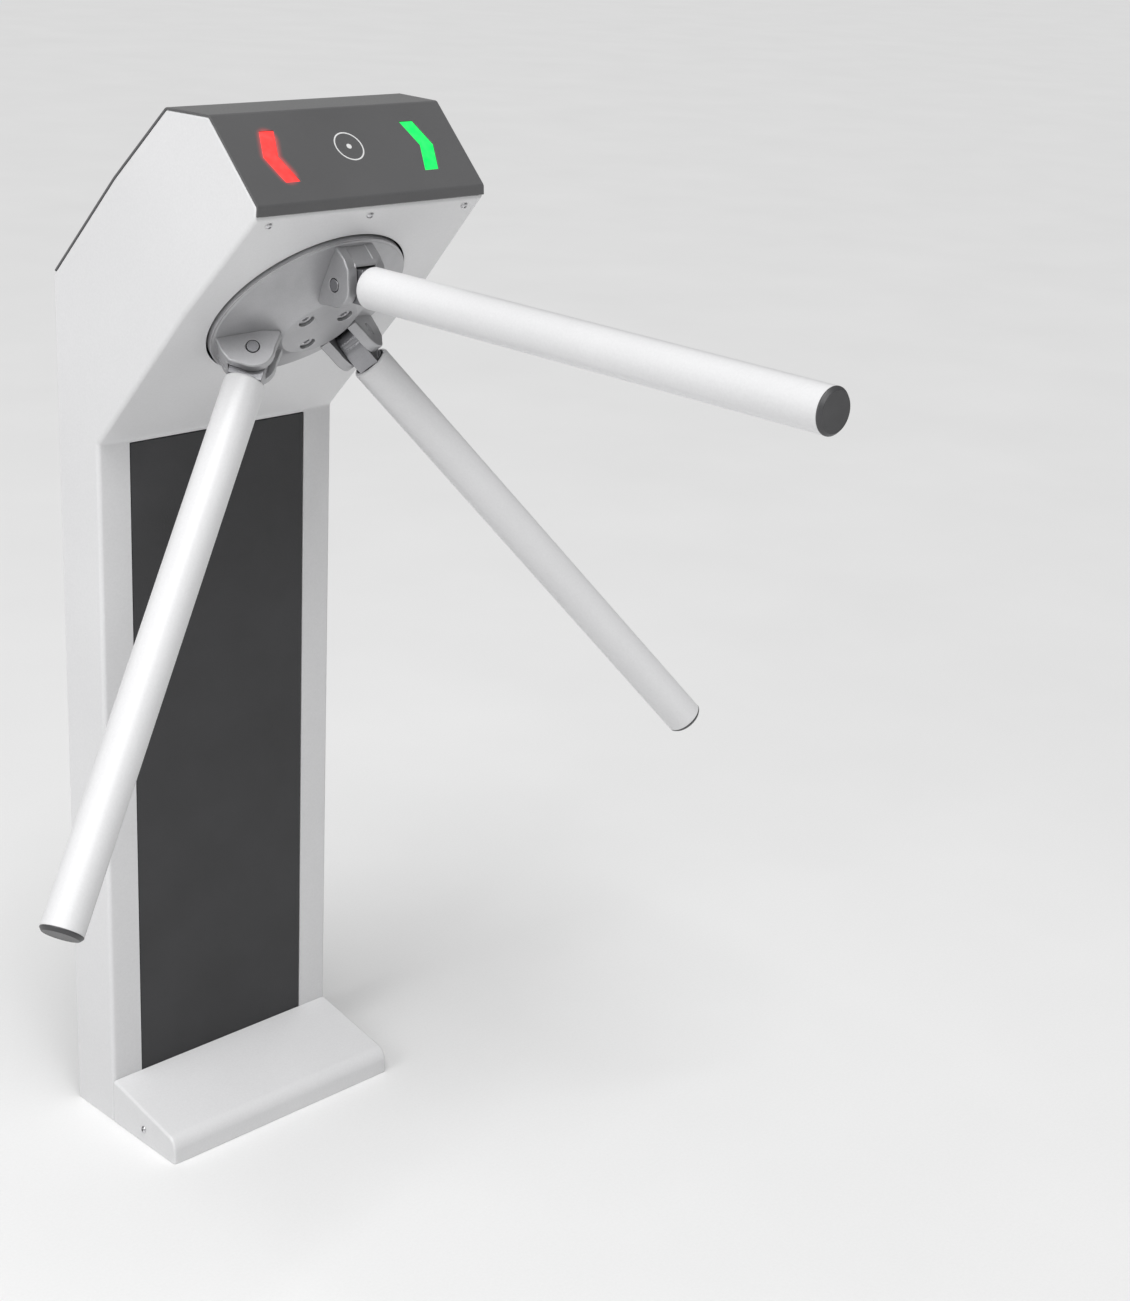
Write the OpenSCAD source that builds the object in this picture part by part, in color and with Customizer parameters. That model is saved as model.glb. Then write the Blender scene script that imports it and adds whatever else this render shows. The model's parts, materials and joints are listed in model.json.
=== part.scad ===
// Visitor counter turnstile: a slim floor column with a leaning head, a rotor
// with three drop arms, and the locking, damping and counting gear behind it.
// Millimetres, +Z up. The visitor passes on the -Y side, the width lies along X,
// and the origin is on the floor under the middle of the column.

/* [Column] */
// Overall height
total_h = 1050; // [990:5:1260]
// Width of the column
col_w = 280; // [268:2:340]
// Depth of the column
col_d = 64; // [60:1:90]
// Thickness of the folded sheet
sheet = 2; // [1.5:0.25:2.5]
// Gap between sheets that lie edge to edge
seam = 0.3; // [0.2:0.05:0.6]
// Depth of the return folds behind the back panel
return_w = 16; // [12:1:22]

/* [Head] */
// Rise of the sloping back of the head, along Z
back_rise = 167; // [160:1:175]
// Length of the flat top
top_flat = 57; // [50:1:70]
// Drop of the 45 degree display face, along Z
display_drop = 67; // [62:1:75]
// Height of the lip under the display
lip_h = 10; // [8:1:14]
// Angle of the hub axis below the horizon
hub_tilt = 43; // [42:0.5:44]
// Distance from the lip to the hub axis along the hub face
hub_from_lip = 139; // [134:1:144]
// Distance from the lip to the crease in the sides
crease_from_lip = 130; // [120:1:140]
// Inward lean of the sides above the crease
side_lean = 5; // [3:0.5:6]
// Length of the cover's fold behind the hub face
cover_fold = 24; // [20:1:28]

/* [Front inlay] */
// Width of the dark inlay
inlay_w = 207; // [190:1:216]
// Gap round the inlay
inlay_gap = 1; // [0.5:0.25:2]
// Overlap of the inlay's flange behind the sheet
inlay_lap = 8; // [6:1:10]
// Thickness of the inlay's flange
inlay_flange = 1.5; // [1:0.25:2]
// Height of the bend that is left above the inlay
inlay_top_margin = 4; // [3:0.5:10]

/* [Foot] */
// Height of the foot cover where it meets the column
foot_h = 48.5; // [44:0.5:60]
// Height of its slope at the front edge, before the bend is rounded
foot_front_h = 27; // [22:0.5:34]
// Reach of the foot cover in front of the column
foot_reach = 107; // [90:1:130]
// Radius of the foot cover's front bend
foot_bend_r = 14; // [8:1:18]
// Thickness of the base plate
base_t = 10; // [8:1:12]
// Hole for an anchor bolt
anchor_d = 13; // [11:1:16]
// Spacing of the anchor holes along X
anchor_dx = 200; // [180:2:210]
// Spacing of the anchor holes along Y
anchor_dy = 104; // [90:2:110]
// Hole for the supply cable
cable_hole_d = 32; // [25:1:40]

/* [Rotor] */
// Radius of the rotor
rotor_r = 101; // [94:1:104]
// Gap between rotor and hub face
rotor_gap = 2; // [1:0.25:3]
// Height of the rotor's rim over the hub face
rim_h = 4; // [3:0.5:6]
// Radius of the break between the two cones
cone_r = 56; // [52:1:60]
// Height of that break
cone_h = 16.5; // [14:0.5:18]
// Radius of the flat boss
boss_r = 38; // [34:1:42]
// Height of the flat boss
boss_h = 27; // [25:0.5:29]
// Radius of the circle of rotor screws
rotor_screw_r = 25.5; // [22:0.5:28]

/* [Arms] */
// Distance from the hub axis to an arm's pin
pin_r = 66.5; // [64:0.5:70]
// Height of the pins over the hub face
pin_h = 27; // [26:0.5:30]
// Diameter of the pins
pin_d = 12; // [10:0.5:13]
// Angle between the hub axis and an arm
arm_angle = 43; // [42:0.5:45]
// Diameter of the arms
tube_d = 38; // [34:1:40]
// Wall of the arms
tube_wall = 1.5; // [1.2:0.1:2.5]
// Distance from pin to tube
tube_start = 26; // [25:0.5:32]
// Distance from pin to the outer end of the arm
tube_end = 549; // [450:1:600]
// Length of an end cap
cap_l = 4; // [3.5:0.5:12]
// Width of the tongue between the ears
tongue_w = 21; // [18:0.5:23]
// Thickness of an ear
ear_t = 10.4; // [9:0.2:12]
// Gap between tongue and ear
ear_gap = 0.4; // [0.3:0.05:0.6]

/* [Drive line] */
// Diameter of the hub shaft in its bearings
shaft_d = 30; // [25:1:34]
// Outer diameter of the bearings
bearing_od = 62; // [58:1:66]
// Width of a bearing
bearing_w = 16; // [14:1:17]
// Running clearance of a shaft or pin, on the radius
fit = 0.05; // [0.02:0.01:0.1]
// Distance from the hub face to the mechanism plate
plate_gap = 28; // [26:1:30]
// Thickness of the mechanism plate
plate_t = 6; // [5:0.5:8]
// Gear module
gear_m = 2; // [2:1:2]
// Teeth of the main gear
gear_z = 54; // [54:3:54]
// Teeth of the damper pinion
pinion_z = 18; // [18:1:18]
// Backlash at the pitch circle
backlash = 0.3; // [0.2:0.05:0.5]
// Radius of the lock disc
lock_r = 60; // [56:1:62]
// Depth of a lock notch
notch_d = 9; // [8:0.5:12]
// Swing of a lock pawl
pawl_swing = 8; // [6:0.5:8]
// Travel of a solenoid plunger
plunger_travel = 11.5; // [8:0.5:11.5]

/* [Hidden] */
$fn = 64;

big = 3000;
face_to_face = 0.01;

// Side outline of the housing in the YZ plane, from the back foot round to the front foot
col_y = col_d / 2;
back_h = total_h - back_rise;
top_back_y = col_y - back_rise;
top_front_y = top_back_y - top_flat;
lip_y = top_front_y - display_drop;
lip_top_z = total_h - display_drop;
lip_z = lip_top_z - lip_h;
face_slope = 90 - hub_tilt;
col_front_h = lip_z - (-col_y - lip_y) * tan(face_slope);
OUTLINE = [
    [col_y, 0], [col_y, back_h], [top_back_y, total_h], [top_front_y, total_h],
    [lip_y, lip_top_z], [lip_y, lip_z], [-col_y, col_front_h], [-col_y, 0]
];

// Hub frame: x along X, y up the hub face, z out of it along the hub axis
hub_y = lip_y + hub_from_lip * cos(face_slope);
hub_z = lip_z - hub_from_lip * sin(face_slope);

// Crease of the sides: a line at 45 degrees through this point of the hub face
crease_y = lip_y + crease_from_lip * cos(face_slope);
crease_z = lip_z - crease_from_lip * sin(face_slope);

// Foot
foot_front_y = -col_y - foot_reach;
base_front_y = foot_front_y + sheet + 3;
anchor_y = [base_front_y + 34, base_front_y + 34 + anchor_dy];
tab_y = -col_y - foot_reach / 2;
tab_h = 12;

// Heights along the hub axis, over the hub face (negative is inside)
plate_front = -sheet - plate_gap + 2;
plate_back = plate_front - plate_t;
flange_h = boss_h - 10;
flange_t = 10;
front_bearing_h = plate_front + 4;
rear_bearing_h = front_bearing_h - 34;
housing_back = rear_bearing_h - bearing_w - 2;
gear_hub_top = rear_bearing_h - bearing_w - seam;
gear_top = gear_hub_top - 5.7;
gear_t = 8;
lock_hub_top = gear_top - gear_t - 5;
lock_t = 8;
cam_top = lock_hub_top - lock_t - 4;
cam_t = 10;
encoder_hub_top = cam_top - cam_t;
encoder_h = encoder_hub_top - 5;
encoder_t = 1.5;
nut_top = encoder_hub_top - 8;
nut_t = 8;
shaft_end = nut_top - nut_t - 1;
step_d = shaft_d + 8;

// Drive line radii
gear_r = gear_m * gear_z / 2;
pinion_r = gear_m * pinion_z / 2;
damper_y = -(gear_r + pinion_r);
housing_r = bearing_od / 2 + 7;
housing_flange_r = housing_r + 12;
housing_screw_r = housing_r + 6;
cam_flat = shaft_d / 2 + 9;
cam_r = cam_flat + 9;
encoder_r = 45;

// Lock pawls: pivot beside the disc, nose level with the hub axis
pawl_x = lock_r + 14;
pawl_y = -45;
pawl_w = 12;
nose_w = 9;
nose_gap = 1;
pawl_pivot_d = 10;
lever_y = 45;
lever_gap = 0.5;

// Ear outline in the arm frame (y along the radius, z along the hub axis)
ear_r = 20;
EAR = concat(
    [[boss_r, boss_h - 0.5]],
    [for (a = [150:-11.5:35]) [pin_r + ear_r * cos(a), pin_h + ear_r * sin(a)]],
    [[pin_r + 25, pin_h + 2.5], [pin_r + 27, pin_h - 8], [pin_r + 26, 0], [boss_r, 0]]
);
bracket_w = tongue_w + 2 * ear_gap + 2 * ear_t;
ARM_TURN = [0, 120, 240];

// Rotor section: outside, then inside
ROTOR_TOP = [
    [0, boss_h], [boss_r, boss_h], [cone_r, cone_h], [rotor_r, rim_h]
];
rotor_skirt = 3;
rotor_wall = 8;
ROTOR = concat(ROTOR_TOP, [
    [rotor_r, -rotor_skirt], [rotor_r - 9, -rotor_skirt], [rotor_r - 9, rim_h - 4.5],
    [cone_r - 2, cone_h - rotor_wall], [boss_r + 3, flange_h], [0, flange_h]
]);

// ---------------------------------------------------------------- frames

// Children are drawn in the hub frame
module at_hub() {
    translate([0, hub_y, hub_z]) rotate([90 + hub_tilt, 0, 0]) children();
}

// Children are drawn in the frame of arm i: z is along the arm, from its pin
module at_arm(i) {
    at_hub() rotate([0, 0, ARM_TURN[i]]) translate([0, pin_r, pin_h]) rotate([-arm_angle, 0, 0]) children();
}

// A sheet outline in YZ, drawn from x0 to x1
module side_prism(outline, x0, x1) {
    translate([x0, 0, 0]) rotate([90, 0, 90]) linear_extrude(x1 - x0) polygon(outline);
}

// Cylinder along the hub axis between two heights
module bar(r, h0, h1) {
    translate([0, 0, min(h0, h1)]) cylinder(r = r, h = abs(h1 - h0));
}

// Ring along z
module ring(ro, ri, h0, h1) {
    difference() {
        bar(ro, h0, h1);
        bar(ri, min(h0, h1) - 1, max(h0, h1) + 1);
    }
}

// Button head screw, head at z = 0 and up, thread down
module button_screw(head_d, head_h, thread_d, thread_l, seat = 0) {
    difference() {
        union() {
            translate([0, 0, seat]) cylinder(d = head_d, h = head_h * 0.45);
            translate([0, 0, seat + head_h * 0.45])
                cylinder(d1 = head_d, d2 = head_d * 0.6, h = head_h * 0.55);
        }
        translate([0, 0, seat + head_h * 0.35]) cylinder(d = head_d * 0.35, h = head_h);
    }
    translate([0, 0, -thread_l]) cylinder(d = thread_d, h = thread_l + seat);
}

// ---------------------------------------------------------------- outlines

// Point where the lines offset inwards from two neighbouring edges meet
function edge_normal(p, q) = let (d = q - p) [-d[1], d[0]] / norm(d);
function corner(p, q, r, d0, d1) =
    let (n0 = edge_normal(p, q), n1 = edge_normal(q, r), c = n0[0] * n1[1] - n0[1] * n1[0])
    let (k0 = n0 * q + d0, k1 = n1 * q + d1)
    [(k0 * n1[1] - k1 * n0[1]) / c, (n0[0] * k1 - n1[0] * k0) / c];
function inset(pts, d) =
    let (n = len(pts))
    [for (i = [0:n - 1]) corner(pts[(i + n - 1) % n], pts[i], pts[(i + 1) % n], d[(i + n - 1) % n], d[i])];

// Edges of OUTLINE: 0 back, 1 back slope, 2 top, 3 display, 4 lip, 5 hub face, 6 front, 7 floor
UNDER_COVER = inset(OUTLINE, [0, sheet + seam, sheet + seam, sheet + seam, sheet + seam, 0, 0, 0]);
SHELL_IN = inset(UNDER_COVER, [-10, -10, -10, -10, -10, sheet, sheet, -10]);

// Cuts away what lies outside the leaning sides; inner moves the cut inwards
module lean_cuts(inner = 0) {
    for (s = [0, 1])
        mirror([s, 0, 0])
            translate([col_w / 2 - inner, crease_y, crease_z])
                rotate([45, 0, 0]) rotate([0, 90 - side_lean, 0])
                    translate([-big / 2, -big / 2, 0]) cube([big, big, big]);
}

// Outline of the foot cover in YZ, d inside its sheet
function foot_outline(d) =
    let (y0 = -col_y - seam + (d > 0 ? 10 : 0), yf = foot_front_y + d, slope = atan((foot_h - foot_front_h) / foot_reach))
    let (r = foot_bend_r - d, zc = foot_front_h - d / cos(slope) + d * tan(slope))
    let (t = foot_bend_r / tan((90 + slope) / 2), zm = foot_front_h - t)
    concat(
        [[y0, d > 0 ? -10 : 0], [y0, zc + (y0 - yf) * tan(slope)]],
        [for (k = [0:8]) let (a = 90 + slope + (90 - slope) * k / 8)
            [foot_front_y + foot_bend_r + r * cos(a), zm + r * sin(a)]],
        [[yf, d > 0 ? -10 : 0]]
    );

// Involute gear outline
function inv_pt(rb, t) = rb * [cos(t) + t * PI / 180 * sin(t), sin(t) - t * PI / 180 * cos(t)];
function turned(p, a) = [p[0] * cos(a) - p[1] * sin(a), p[0] * sin(a) + p[1] * cos(a)];
function gear_points(m, z, first) =
    let (rp = m * z / 2, rb = rp * cos(20), ra = rp + m * 0.95, rr = rp - m * 1.25)
    let (ta = sqrt(pow(ra / rb, 2) - 1) * 180 / PI, tp = sqrt(pow(rp / rb, 2) - 1) * 180 / PI)
    let (ap = tp - atan(tp * PI / 180), half = 90 / z - backlash / 4 / rp * 180 / PI)
    let (start = half + ap, n = 4)
    [for (i = [0:z - 1]) each let (a = first + i * 360 / z) concat(
        [turned([rr, 0], a - start)],
        [for (k = [0:n]) turned(inv_pt(rb, ta * k / n), a - start)],
        [for (k = [n:-1:0]) let (q = inv_pt(rb, ta * k / n)) turned([q[0], -q[1]], a + start)],
        [turned([rr, 0], a + start)]
    )];

// Point of the hub frame in the part's own frame
function from_hub(p) = [
    p[0],
    hub_y - sin(hub_tilt) * p[1] - cos(hub_tilt) * p[2],
    hub_z + cos(hub_tilt) * p[1] - sin(hub_tilt) * p[2]
];

// Round cable in straight runs, each run a little longer where it meets the next
module cable(pts, d) {
    last = len(pts) - 2;
    for (i = [0:last]) {
        v = pts[i + 1] - pts[i];
        u = v / norm(v);
        head = i > 0 ? d / 4 : 0;
        tail = i < last ? d / 4 : 0;
        translate(pts[i] - head * u) rotate([0, acos(u[2]), atan2(u[1], u[0])])
            cylinder(d = d, h = norm(v) + head + tail);
    }
}

// ---------------------------------------------------------------- housing

cover_screw_x = 111;
cover_screw_y = hub_from_lip - 11;
screw_hole = 5.3;
inlay_z0 = foot_h - 6;
inlay_z1 = col_front_h - inlay_top_margin;

module cover_screw_places() {
    at_hub() for (x = [-cover_screw_x, 0, cover_screw_x]) translate([x, cover_screw_y, 0]) children();
}

module back_screw_places() {
    for (x = [-1, 1], z = [60, back_h / 2, back_h - 45])
        translate([x * (col_w / 2 - sheet - return_w / 2), col_y, z]) rotate([-90, 0, 0]) children();
}

module foot_screw_places() {
    for (s = [0, 1]) mirror([s, 0, 0])
        translate([col_w / 2, tab_y, base_t + tab_h / 2]) rotate([0, 90, 0]) children();
}

module main_shell() color("whitesmoke") {
    difference() {
        side_prism(UNDER_COVER, -col_w / 2, col_w / 2);
        lean_cuts();
        difference() {
            side_prism(SHELL_IN, -col_w / 2 + sheet, col_w / 2 - sheet);
            lean_cuts(sheet);
        }
        at_hub() bar(rotor_r + rotor_gap, -20, 20);
        cover_screw_places() bar(screw_hole / 2, -10, 10);
        translate([-inlay_w / 2 - inlay_gap, -col_y - 5, inlay_z0 - inlay_gap])
            cube([inlay_w + 2 * inlay_gap, 10, inlay_z1 - inlay_z0 + 2 * inlay_gap]);
        translate([-col_w / 2 + sheet, -col_y - 5, -5]) cube([col_w - 2 * sheet, 10, base_t + 5]);
    }
    // return folds that the back panel is screwed to
    for (s = [0, 1]) mirror([s, 0, 0]) difference() {
        translate([col_w / 2 - sheet - return_w, col_y - 2 * sheet, base_t + 2])
            cube([return_w + sheet / 2, sheet, back_h - base_t - 22]);
        back_screw_places() cylinder(d = 4.2, h = 20, center = true);
    }
}

fold_inset = 16;
module head_cover() color("dimgray") difference() {
    union() {
        difference() {
            side_prism(OUTLINE, -col_w / 2, col_w / 2);
            side_prism(inset(OUTLINE, [-10, sheet, sheet, sheet, sheet, -10, -10, -10]), -col_w, col_w);
        }
        // fold behind the hub face
        at_hub() translate([-col_w / 2 + fold_inset, hub_from_lip - cover_fold, -2 * sheet])
            cube([col_w - 2 * fold_inset, cover_fold - 0.5, sheet]);
    }
    lean_cuts();
    cover_screw_places() bar(2.1, -12, 5);
    for (s = [0, 1]) mirror([s, 0, 0]) at_display() chevron(0, 0.2);
}

module front_inlay() color("#3c3c3d") {
    translate([-inlay_w / 2, -col_y + 0.3, inlay_z0])
        cube([inlay_w, sheet + inlay_flange - 0.3, inlay_z1 - inlay_z0]);
    translate([-inlay_w / 2 - inlay_lap, -col_y + sheet, inlay_z0 - inlay_lap])
        cube([inlay_w + 2 * inlay_lap, inlay_flange, inlay_z1 - inlay_z0 + inlay_lap + 2]);
}

panel_x = col_w / 2 - sheet - seam;
panel_top = back_h - sheet * sqrt(2) - seam;
module back_panel() color("whitesmoke") difference() {
    translate([-panel_x, col_y - sheet, base_t + seam]) cube([2 * panel_x, sheet, panel_top - base_t - seam]);
    back_screw_places() cylinder(d = 4.4, h = 20, center = true);
}

module base_plate() color("gray") difference() {
    union() {
        translate([-col_w / 2 + sheet, base_front_y, 0])
            cube([col_w - 2 * sheet, col_y - sheet - base_front_y - seam, base_t]);
        for (s = [0, 1]) mirror([s, 0, 0])
            translate([col_w / 2 - sheet - 8, tab_y - 9, base_t - 1]) cube([8, 18, tab_h + 1]);
    }
    for (x = [-1, 1], y = anchor_y) translate([x * anchor_dx / 2, y, -1]) cylinder(d = anchor_d, h = base_t + 2);
    translate([cable_x, 0, -1]) cylinder(d = cable_hole_d, h = base_t + 2);
    foot_screw_places() translate([0, 0, -7.5]) cylinder(d = 4.1, h = 10);
}

module foot_cover() color("whitesmoke") difference() {
    side_prism(foot_outline(0), -col_w / 2, col_w / 2);
    side_prism(foot_outline(sheet), -col_w / 2 + sheet, col_w / 2 - sheet);
    foot_screw_places() cylinder(d = 4.4, h = 10, center = true);
}

module cover_screws() color("silver") cover_screw_places() button_screw(8.5, 2.8, 4, 3.8);

module foot_screws() color("silver") foot_screw_places() button_screw(7.6, 2.4, 4, 6.5);

module back_screws() color("silver") back_screw_places() button_screw(8.5, 2.6, 4, 5);

cable_x = -50;
module cable_grommet() color("#202020") translate([cable_x, 0, 0]) rotate_extrude()
    polygon([
        [cable_hole_d / 2 - 4, 0.5], [cable_hole_d / 2, 0.5], [cable_hole_d / 2, base_t],
        [cable_hole_d / 2 + 3, base_t], [cable_hole_d / 2 + 3, base_t + 2], [cable_hole_d / 2 - 4, base_t + 2]
    ]);

// ---------------------------------------------------------------- display

lens_x = 83;
lens_s = 46.5;
lens_half = 26.5;
lens_w = 15.5;
lens_bend = 9.5;
lens_flange = 4;
lens_depth = 6;

// Frame of the display face: y up the slope from its top edge, z out of it
module at_display() {
    translate([0, top_front_y, total_h]) rotate([45, 0, 0]) children();
}

function chevron_points(grow) = let (w = lens_w / 2 + grow, h = lens_half + grow) [
    [lens_x - lens_bend / 2 - w, h], [lens_x - lens_bend / 2 + w, h], [lens_x + lens_bend / 2 + w, 0],
    [lens_x - lens_bend / 2 + w, -h], [lens_x - lens_bend / 2 - w, -h], [lens_x + lens_bend / 2 - w, 0]
];

// Arrow head towards +X through the display sheet
module chevron(low, grow) {
    translate([0, -lens_s, -sheet - 1 - low]) linear_extrude(sheet + 3 + low) polygon(chevron_points(grow));
}

module lens() {
    translate([0, -lens_s, -lens_depth]) linear_extrude(lens_depth - 0.4) polygon(chevron_points(0));
    translate([0, -lens_s, -sheet - 1.5]) linear_extrude(1.5) polygon(chevron_points(lens_flange));
}

module red_lens() color("#ff4040") mirror([1, 0, 0]) at_display() lens();

module green_lens() color("#00e060") at_display() lens();

module indicator_board() color("darkgreen") at_display() {
    translate([-lens_x - 22, -lens_s - 30, -lens_depth - 1.6]) cube([2 * lens_x + 44, 60, 1.6]);
    for (s = [-1, 1], k = [-2:2])
        translate([s * (lens_x + lens_bend / 2 - abs(k) * lens_bend / 2) - 2.5, -lens_s + k * 11 - 2.5, -lens_depth - 3.1])
            cube([5, 5, 2]);
}

// ---------------------------------------------------------------- rotor and arms

module rotor_screw_places() {
    at_hub() for (a = [30, 150, 270]) rotate([0, 0, a]) translate([rotor_screw_r, 0, 0]) children();
}

module rotor_disc() color("#9a9a9c") difference() {
    at_hub() rotate_extrude($fn = 128) polygon(ROTOR);
    rotor_screw_places() bar(4.5, 0, boss_h + 1);
    rotor_screw_places() bar(7.5, boss_h - 7, boss_h + 1);
}

module rotor_screws() color("#5a5a5c") rotor_screw_places() difference() {
    union() {
        bar(6.5, boss_h - 7, boss_h - 0.5);
        bar(4, flange_h - 8, boss_h - 6);
    }
    translate([0, 0, boss_h - 4]) cylinder(d = 6.9, h = 5, $fn = 6);
}

module hub_shaft() color("silver") difference() {
    at_hub() {
        bar(boss_r - 1, flange_h - flange_t, flange_h);
        bar(step_d / 2, front_bearing_h + seam, flange_h - flange_t + 1);
        bar(shaft_d / 2, shaft_end, front_bearing_h + 1);
    }
    rotor_screw_places() bar(4.05, flange_h - flange_t - 1, flange_h + 1);
}

module shaft_nut() color("#6a6a6c") at_hub() difference() {
    translate([0, 0, nut_top - nut_t]) cylinder(d = 44, h = nut_t, $fn = 6);
    bar(shaft_d / 2 + fit, nut_top - nut_t - 1, nut_top + 1);
}

// Two ears and the web between them, standing on the rotor's cone
module bracket(i) color("#a4a4a6") at_hub() rotate([0, 0, ARM_TURN[i]]) difference() {
    union() {
        for (s = [-1, 1])
            translate([s * (tongue_w / 2 + ear_gap + ear_t / 2) - ear_t / 2, 0, 0])
                rotate([90, 0, 90]) linear_extrude(ear_t) polygon(EAR);
        translate([-tongue_w / 2 - ear_gap - 1, boss_r + 1, 0])
            cube([tongue_w + 2 * ear_gap + 2, pin_r + 24 - boss_r, boss_h]);
    }
    translate([0, pin_r, pin_h]) rotate([0, 90, 0]) cylinder(r = pin_d / 2 + face_to_face, h = 100, center = true);
    // room for the tongue
    translate([-tongue_w / 2 - ear_gap, 0, 0]) rotate([90, 0, 90])
        linear_extrude(tongue_w + 2 * ear_gap) polygon([
            [0, boss_h + 1.5], [boss_r - 5, boss_h + 1.5], [cone_r, cone_h + 1.5],
            [rotor_r, rim_h + 1.5], [pin_r + pin_d + ear_r, rim_h + 1.5], [pin_r + pin_d + ear_r, 100], [0, 100]
        ]);
    rotate_extrude($fn = 128) polygon(concat([[0, -5]], ROTOR_TOP, [[rotor_r + 20, rim_h], [rotor_r + 20, -5]]));
}
module bracket_a() bracket(0);
module bracket_b() bracket(1);
module bracket_c() bracket(2);

module pin(i) color("#b8b8ba") at_hub() rotate([0, 0, ARM_TURN[i]])
    translate([-bracket_w / 2 - 0.6, pin_r, pin_h]) rotate([0, 90, 0]) cylinder(d = pin_d, h = bracket_w + 1.2);
module pin_a() pin(0);
module pin_b() pin(1);
module pin_c() pin(2);

tongue_t = 30;
tongue_round = 11;
tongue_shoulder = 11;
plug_recess = 6;
plug_l = 40;
bore_r = tube_d / 2 - tube_wall;
module tongue(i) color("#a0a0a2") at_arm(i) difference() {
    union() {
        rotate([0, 90, 0]) cylinder(r = tongue_round, h = tongue_w, center = true);
        translate([-tongue_w / 2, -tongue_round, 0]) cube([tongue_w, 2 * tongue_round, tongue_shoulder + 1]);
        translate([-tongue_w / 2, -tongue_t / 2, tongue_shoulder])
            cube([tongue_w, tongue_t, tube_start - tongue_shoulder]);
        // neck inside the tube, down to the plug
        intersection() {
            translate([-tongue_w / 2, -tongue_t / 2, tube_start - 1]) cube([tongue_w, tongue_t, plug_recess + 2]);
            bar(bore_r, tube_start - 2, tube_start + plug_recess + 2);
        }
        bar(bore_r, tube_start + plug_recess, tube_start + plug_l);
    }
    rotate([0, 90, 0]) cylinder(r = pin_d / 2 + fit, h = 100, center = true);
}
module tongue_a() tongue(0);
module tongue_b() tongue(1);
module tongue_c() tongue(2);

// Drop arm tube; its inner end is closed by a ring round the tongue
module tube(i) color("#f4f4f4") at_arm(i)
    ring(tube_d / 2, bore_r, tube_start, tube_end - cap_l);
module tube_a() tube(0);
module tube_b() tube(1);
module tube_c() tube(2);

cap_bevel = 2.5;
module cap(i) color("#4a4a4b") at_arm(i) {
    translate([0, 0, tube_end - cap_l]) cylinder(d = tube_d, h = cap_l - cap_bevel);
    translate([0, 0, tube_end - cap_bevel]) cylinder(d1 = tube_d, d2 = tube_d - 2 * cap_bevel, h = cap_bevel);
    bar(bore_r, tube_end - cap_l - 18, tube_end - cap_l + 1);
}
module cap_a() cap(0);
module cap_b() cap(1);
module cap_c() cap(2);

// ---------------------------------------------------------------- mechanism

plate_x = 124;
plate_y = 95;
standoff_x = 108;
standoff_y = 78;
leaf_post = [45, -52];
sensor_post = [0, gear_r + gear_m + 16];

module standoff_places() {
    at_hub() for (x = [-1, 1], y = [-1, 1]) translate([x * standoff_x, y * standoff_y, 0]) children();
}

module mechanism_plate() color("#8a8f94") difference() {
    at_hub() translate([-plate_x, -plate_y, plate_back]) cube([2 * plate_x, 2 * plate_y, plate_t]);
    at_hub() bar(housing_r + 0.1, plate_back - 1, plate_front + 1);
    standoff_places() bar(3.3, plate_back - 1, plate_front + 1);
    at_hub() housing_screw_ring() bar(3.05, plate_back - 1, plate_front + 1);
}

module plate_standoffs() color("silver") standoff_places() ring(6, 3.05, plate_front, -sheet);

module plate_bolts() color("#6a6a6c") standoff_places() {
    difference() {
        bar(5, plate_back, plate_back - 6);
        translate([0, 0, plate_back - 7]) cylinder(d = 5.8, h = 4, $fn = 6);
    }
    bar(3, plate_back - 1, plate_front + 12);
}

pawl_top = lock_hub_top;
post_end = pawl_top - lock_t - 3;
module mechanism_posts() color("silver") at_hub() {
    for (s = [-1, 1]) translate([s * pawl_x, pawl_y, 0]) {
        bar(pawl_pivot_d / 2, post_end, plate_back);
        bar(pawl_pivot_d / 2 + 3, pawl_top + 12.5, plate_back);
        bar(pawl_pivot_d / 2 + 2, post_end - 1.5, post_end);
    }
    translate(leaf_post) bar(4, cam_top - cam_t - 1, plate_back);
    translate(sensor_post) bar(4, sensor_front, plate_back);
}

module bearing_housing() color("#7c8084") at_hub() difference() {
    union() {
        bar(housing_r, housing_back, plate_front + 6);
        bar(housing_flange_r, plate_back - 8, plate_back);
    }
    bar(bearing_od / 2, front_bearing_h - bearing_w, plate_front + 7);
    bar(bearing_od / 2 - 6, rear_bearing_h - 1, front_bearing_h - bearing_w + 1);
    bar(bearing_od / 2, housing_back - 1, rear_bearing_h);
    housing_screw_ring() bar(3.3, plate_back - 9, plate_back + 1);
}

module housing_screw_ring() {
    for (a = [0:60:300]) rotate([0, 0, a]) translate([housing_screw_r, 0, 0]) children();
}

module housing_screws() color("#5a5a5c") at_hub() housing_screw_ring() {
    difference() {
        bar(5, plate_back - 8, plate_back - 14);
        translate([0, 0, plate_back - 15]) cylinder(d = 5.8, h = 4, $fn = 6);
    }
    bar(3, plate_back - 9, plate_front - 0.5);
}

// Ball bearing: two rings with a groove between them, drawn as one solid
module bearing(top) color("lightsteelblue") at_hub() difference() {
    bar(bearing_od / 2, top - bearing_w, top);
    bar(shaft_d / 2 + fit, top - bearing_w - 1, top + 1);
    for (h = [top - 1, top - bearing_w]) ring(bearing_od / 2 - 4.5, shaft_d / 2 + 4.5, h - 0.01, h + 1.01);
}
module front_bearing() bearing(front_bearing_h);
module rear_bearing() bearing(rear_bearing_h);

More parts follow.
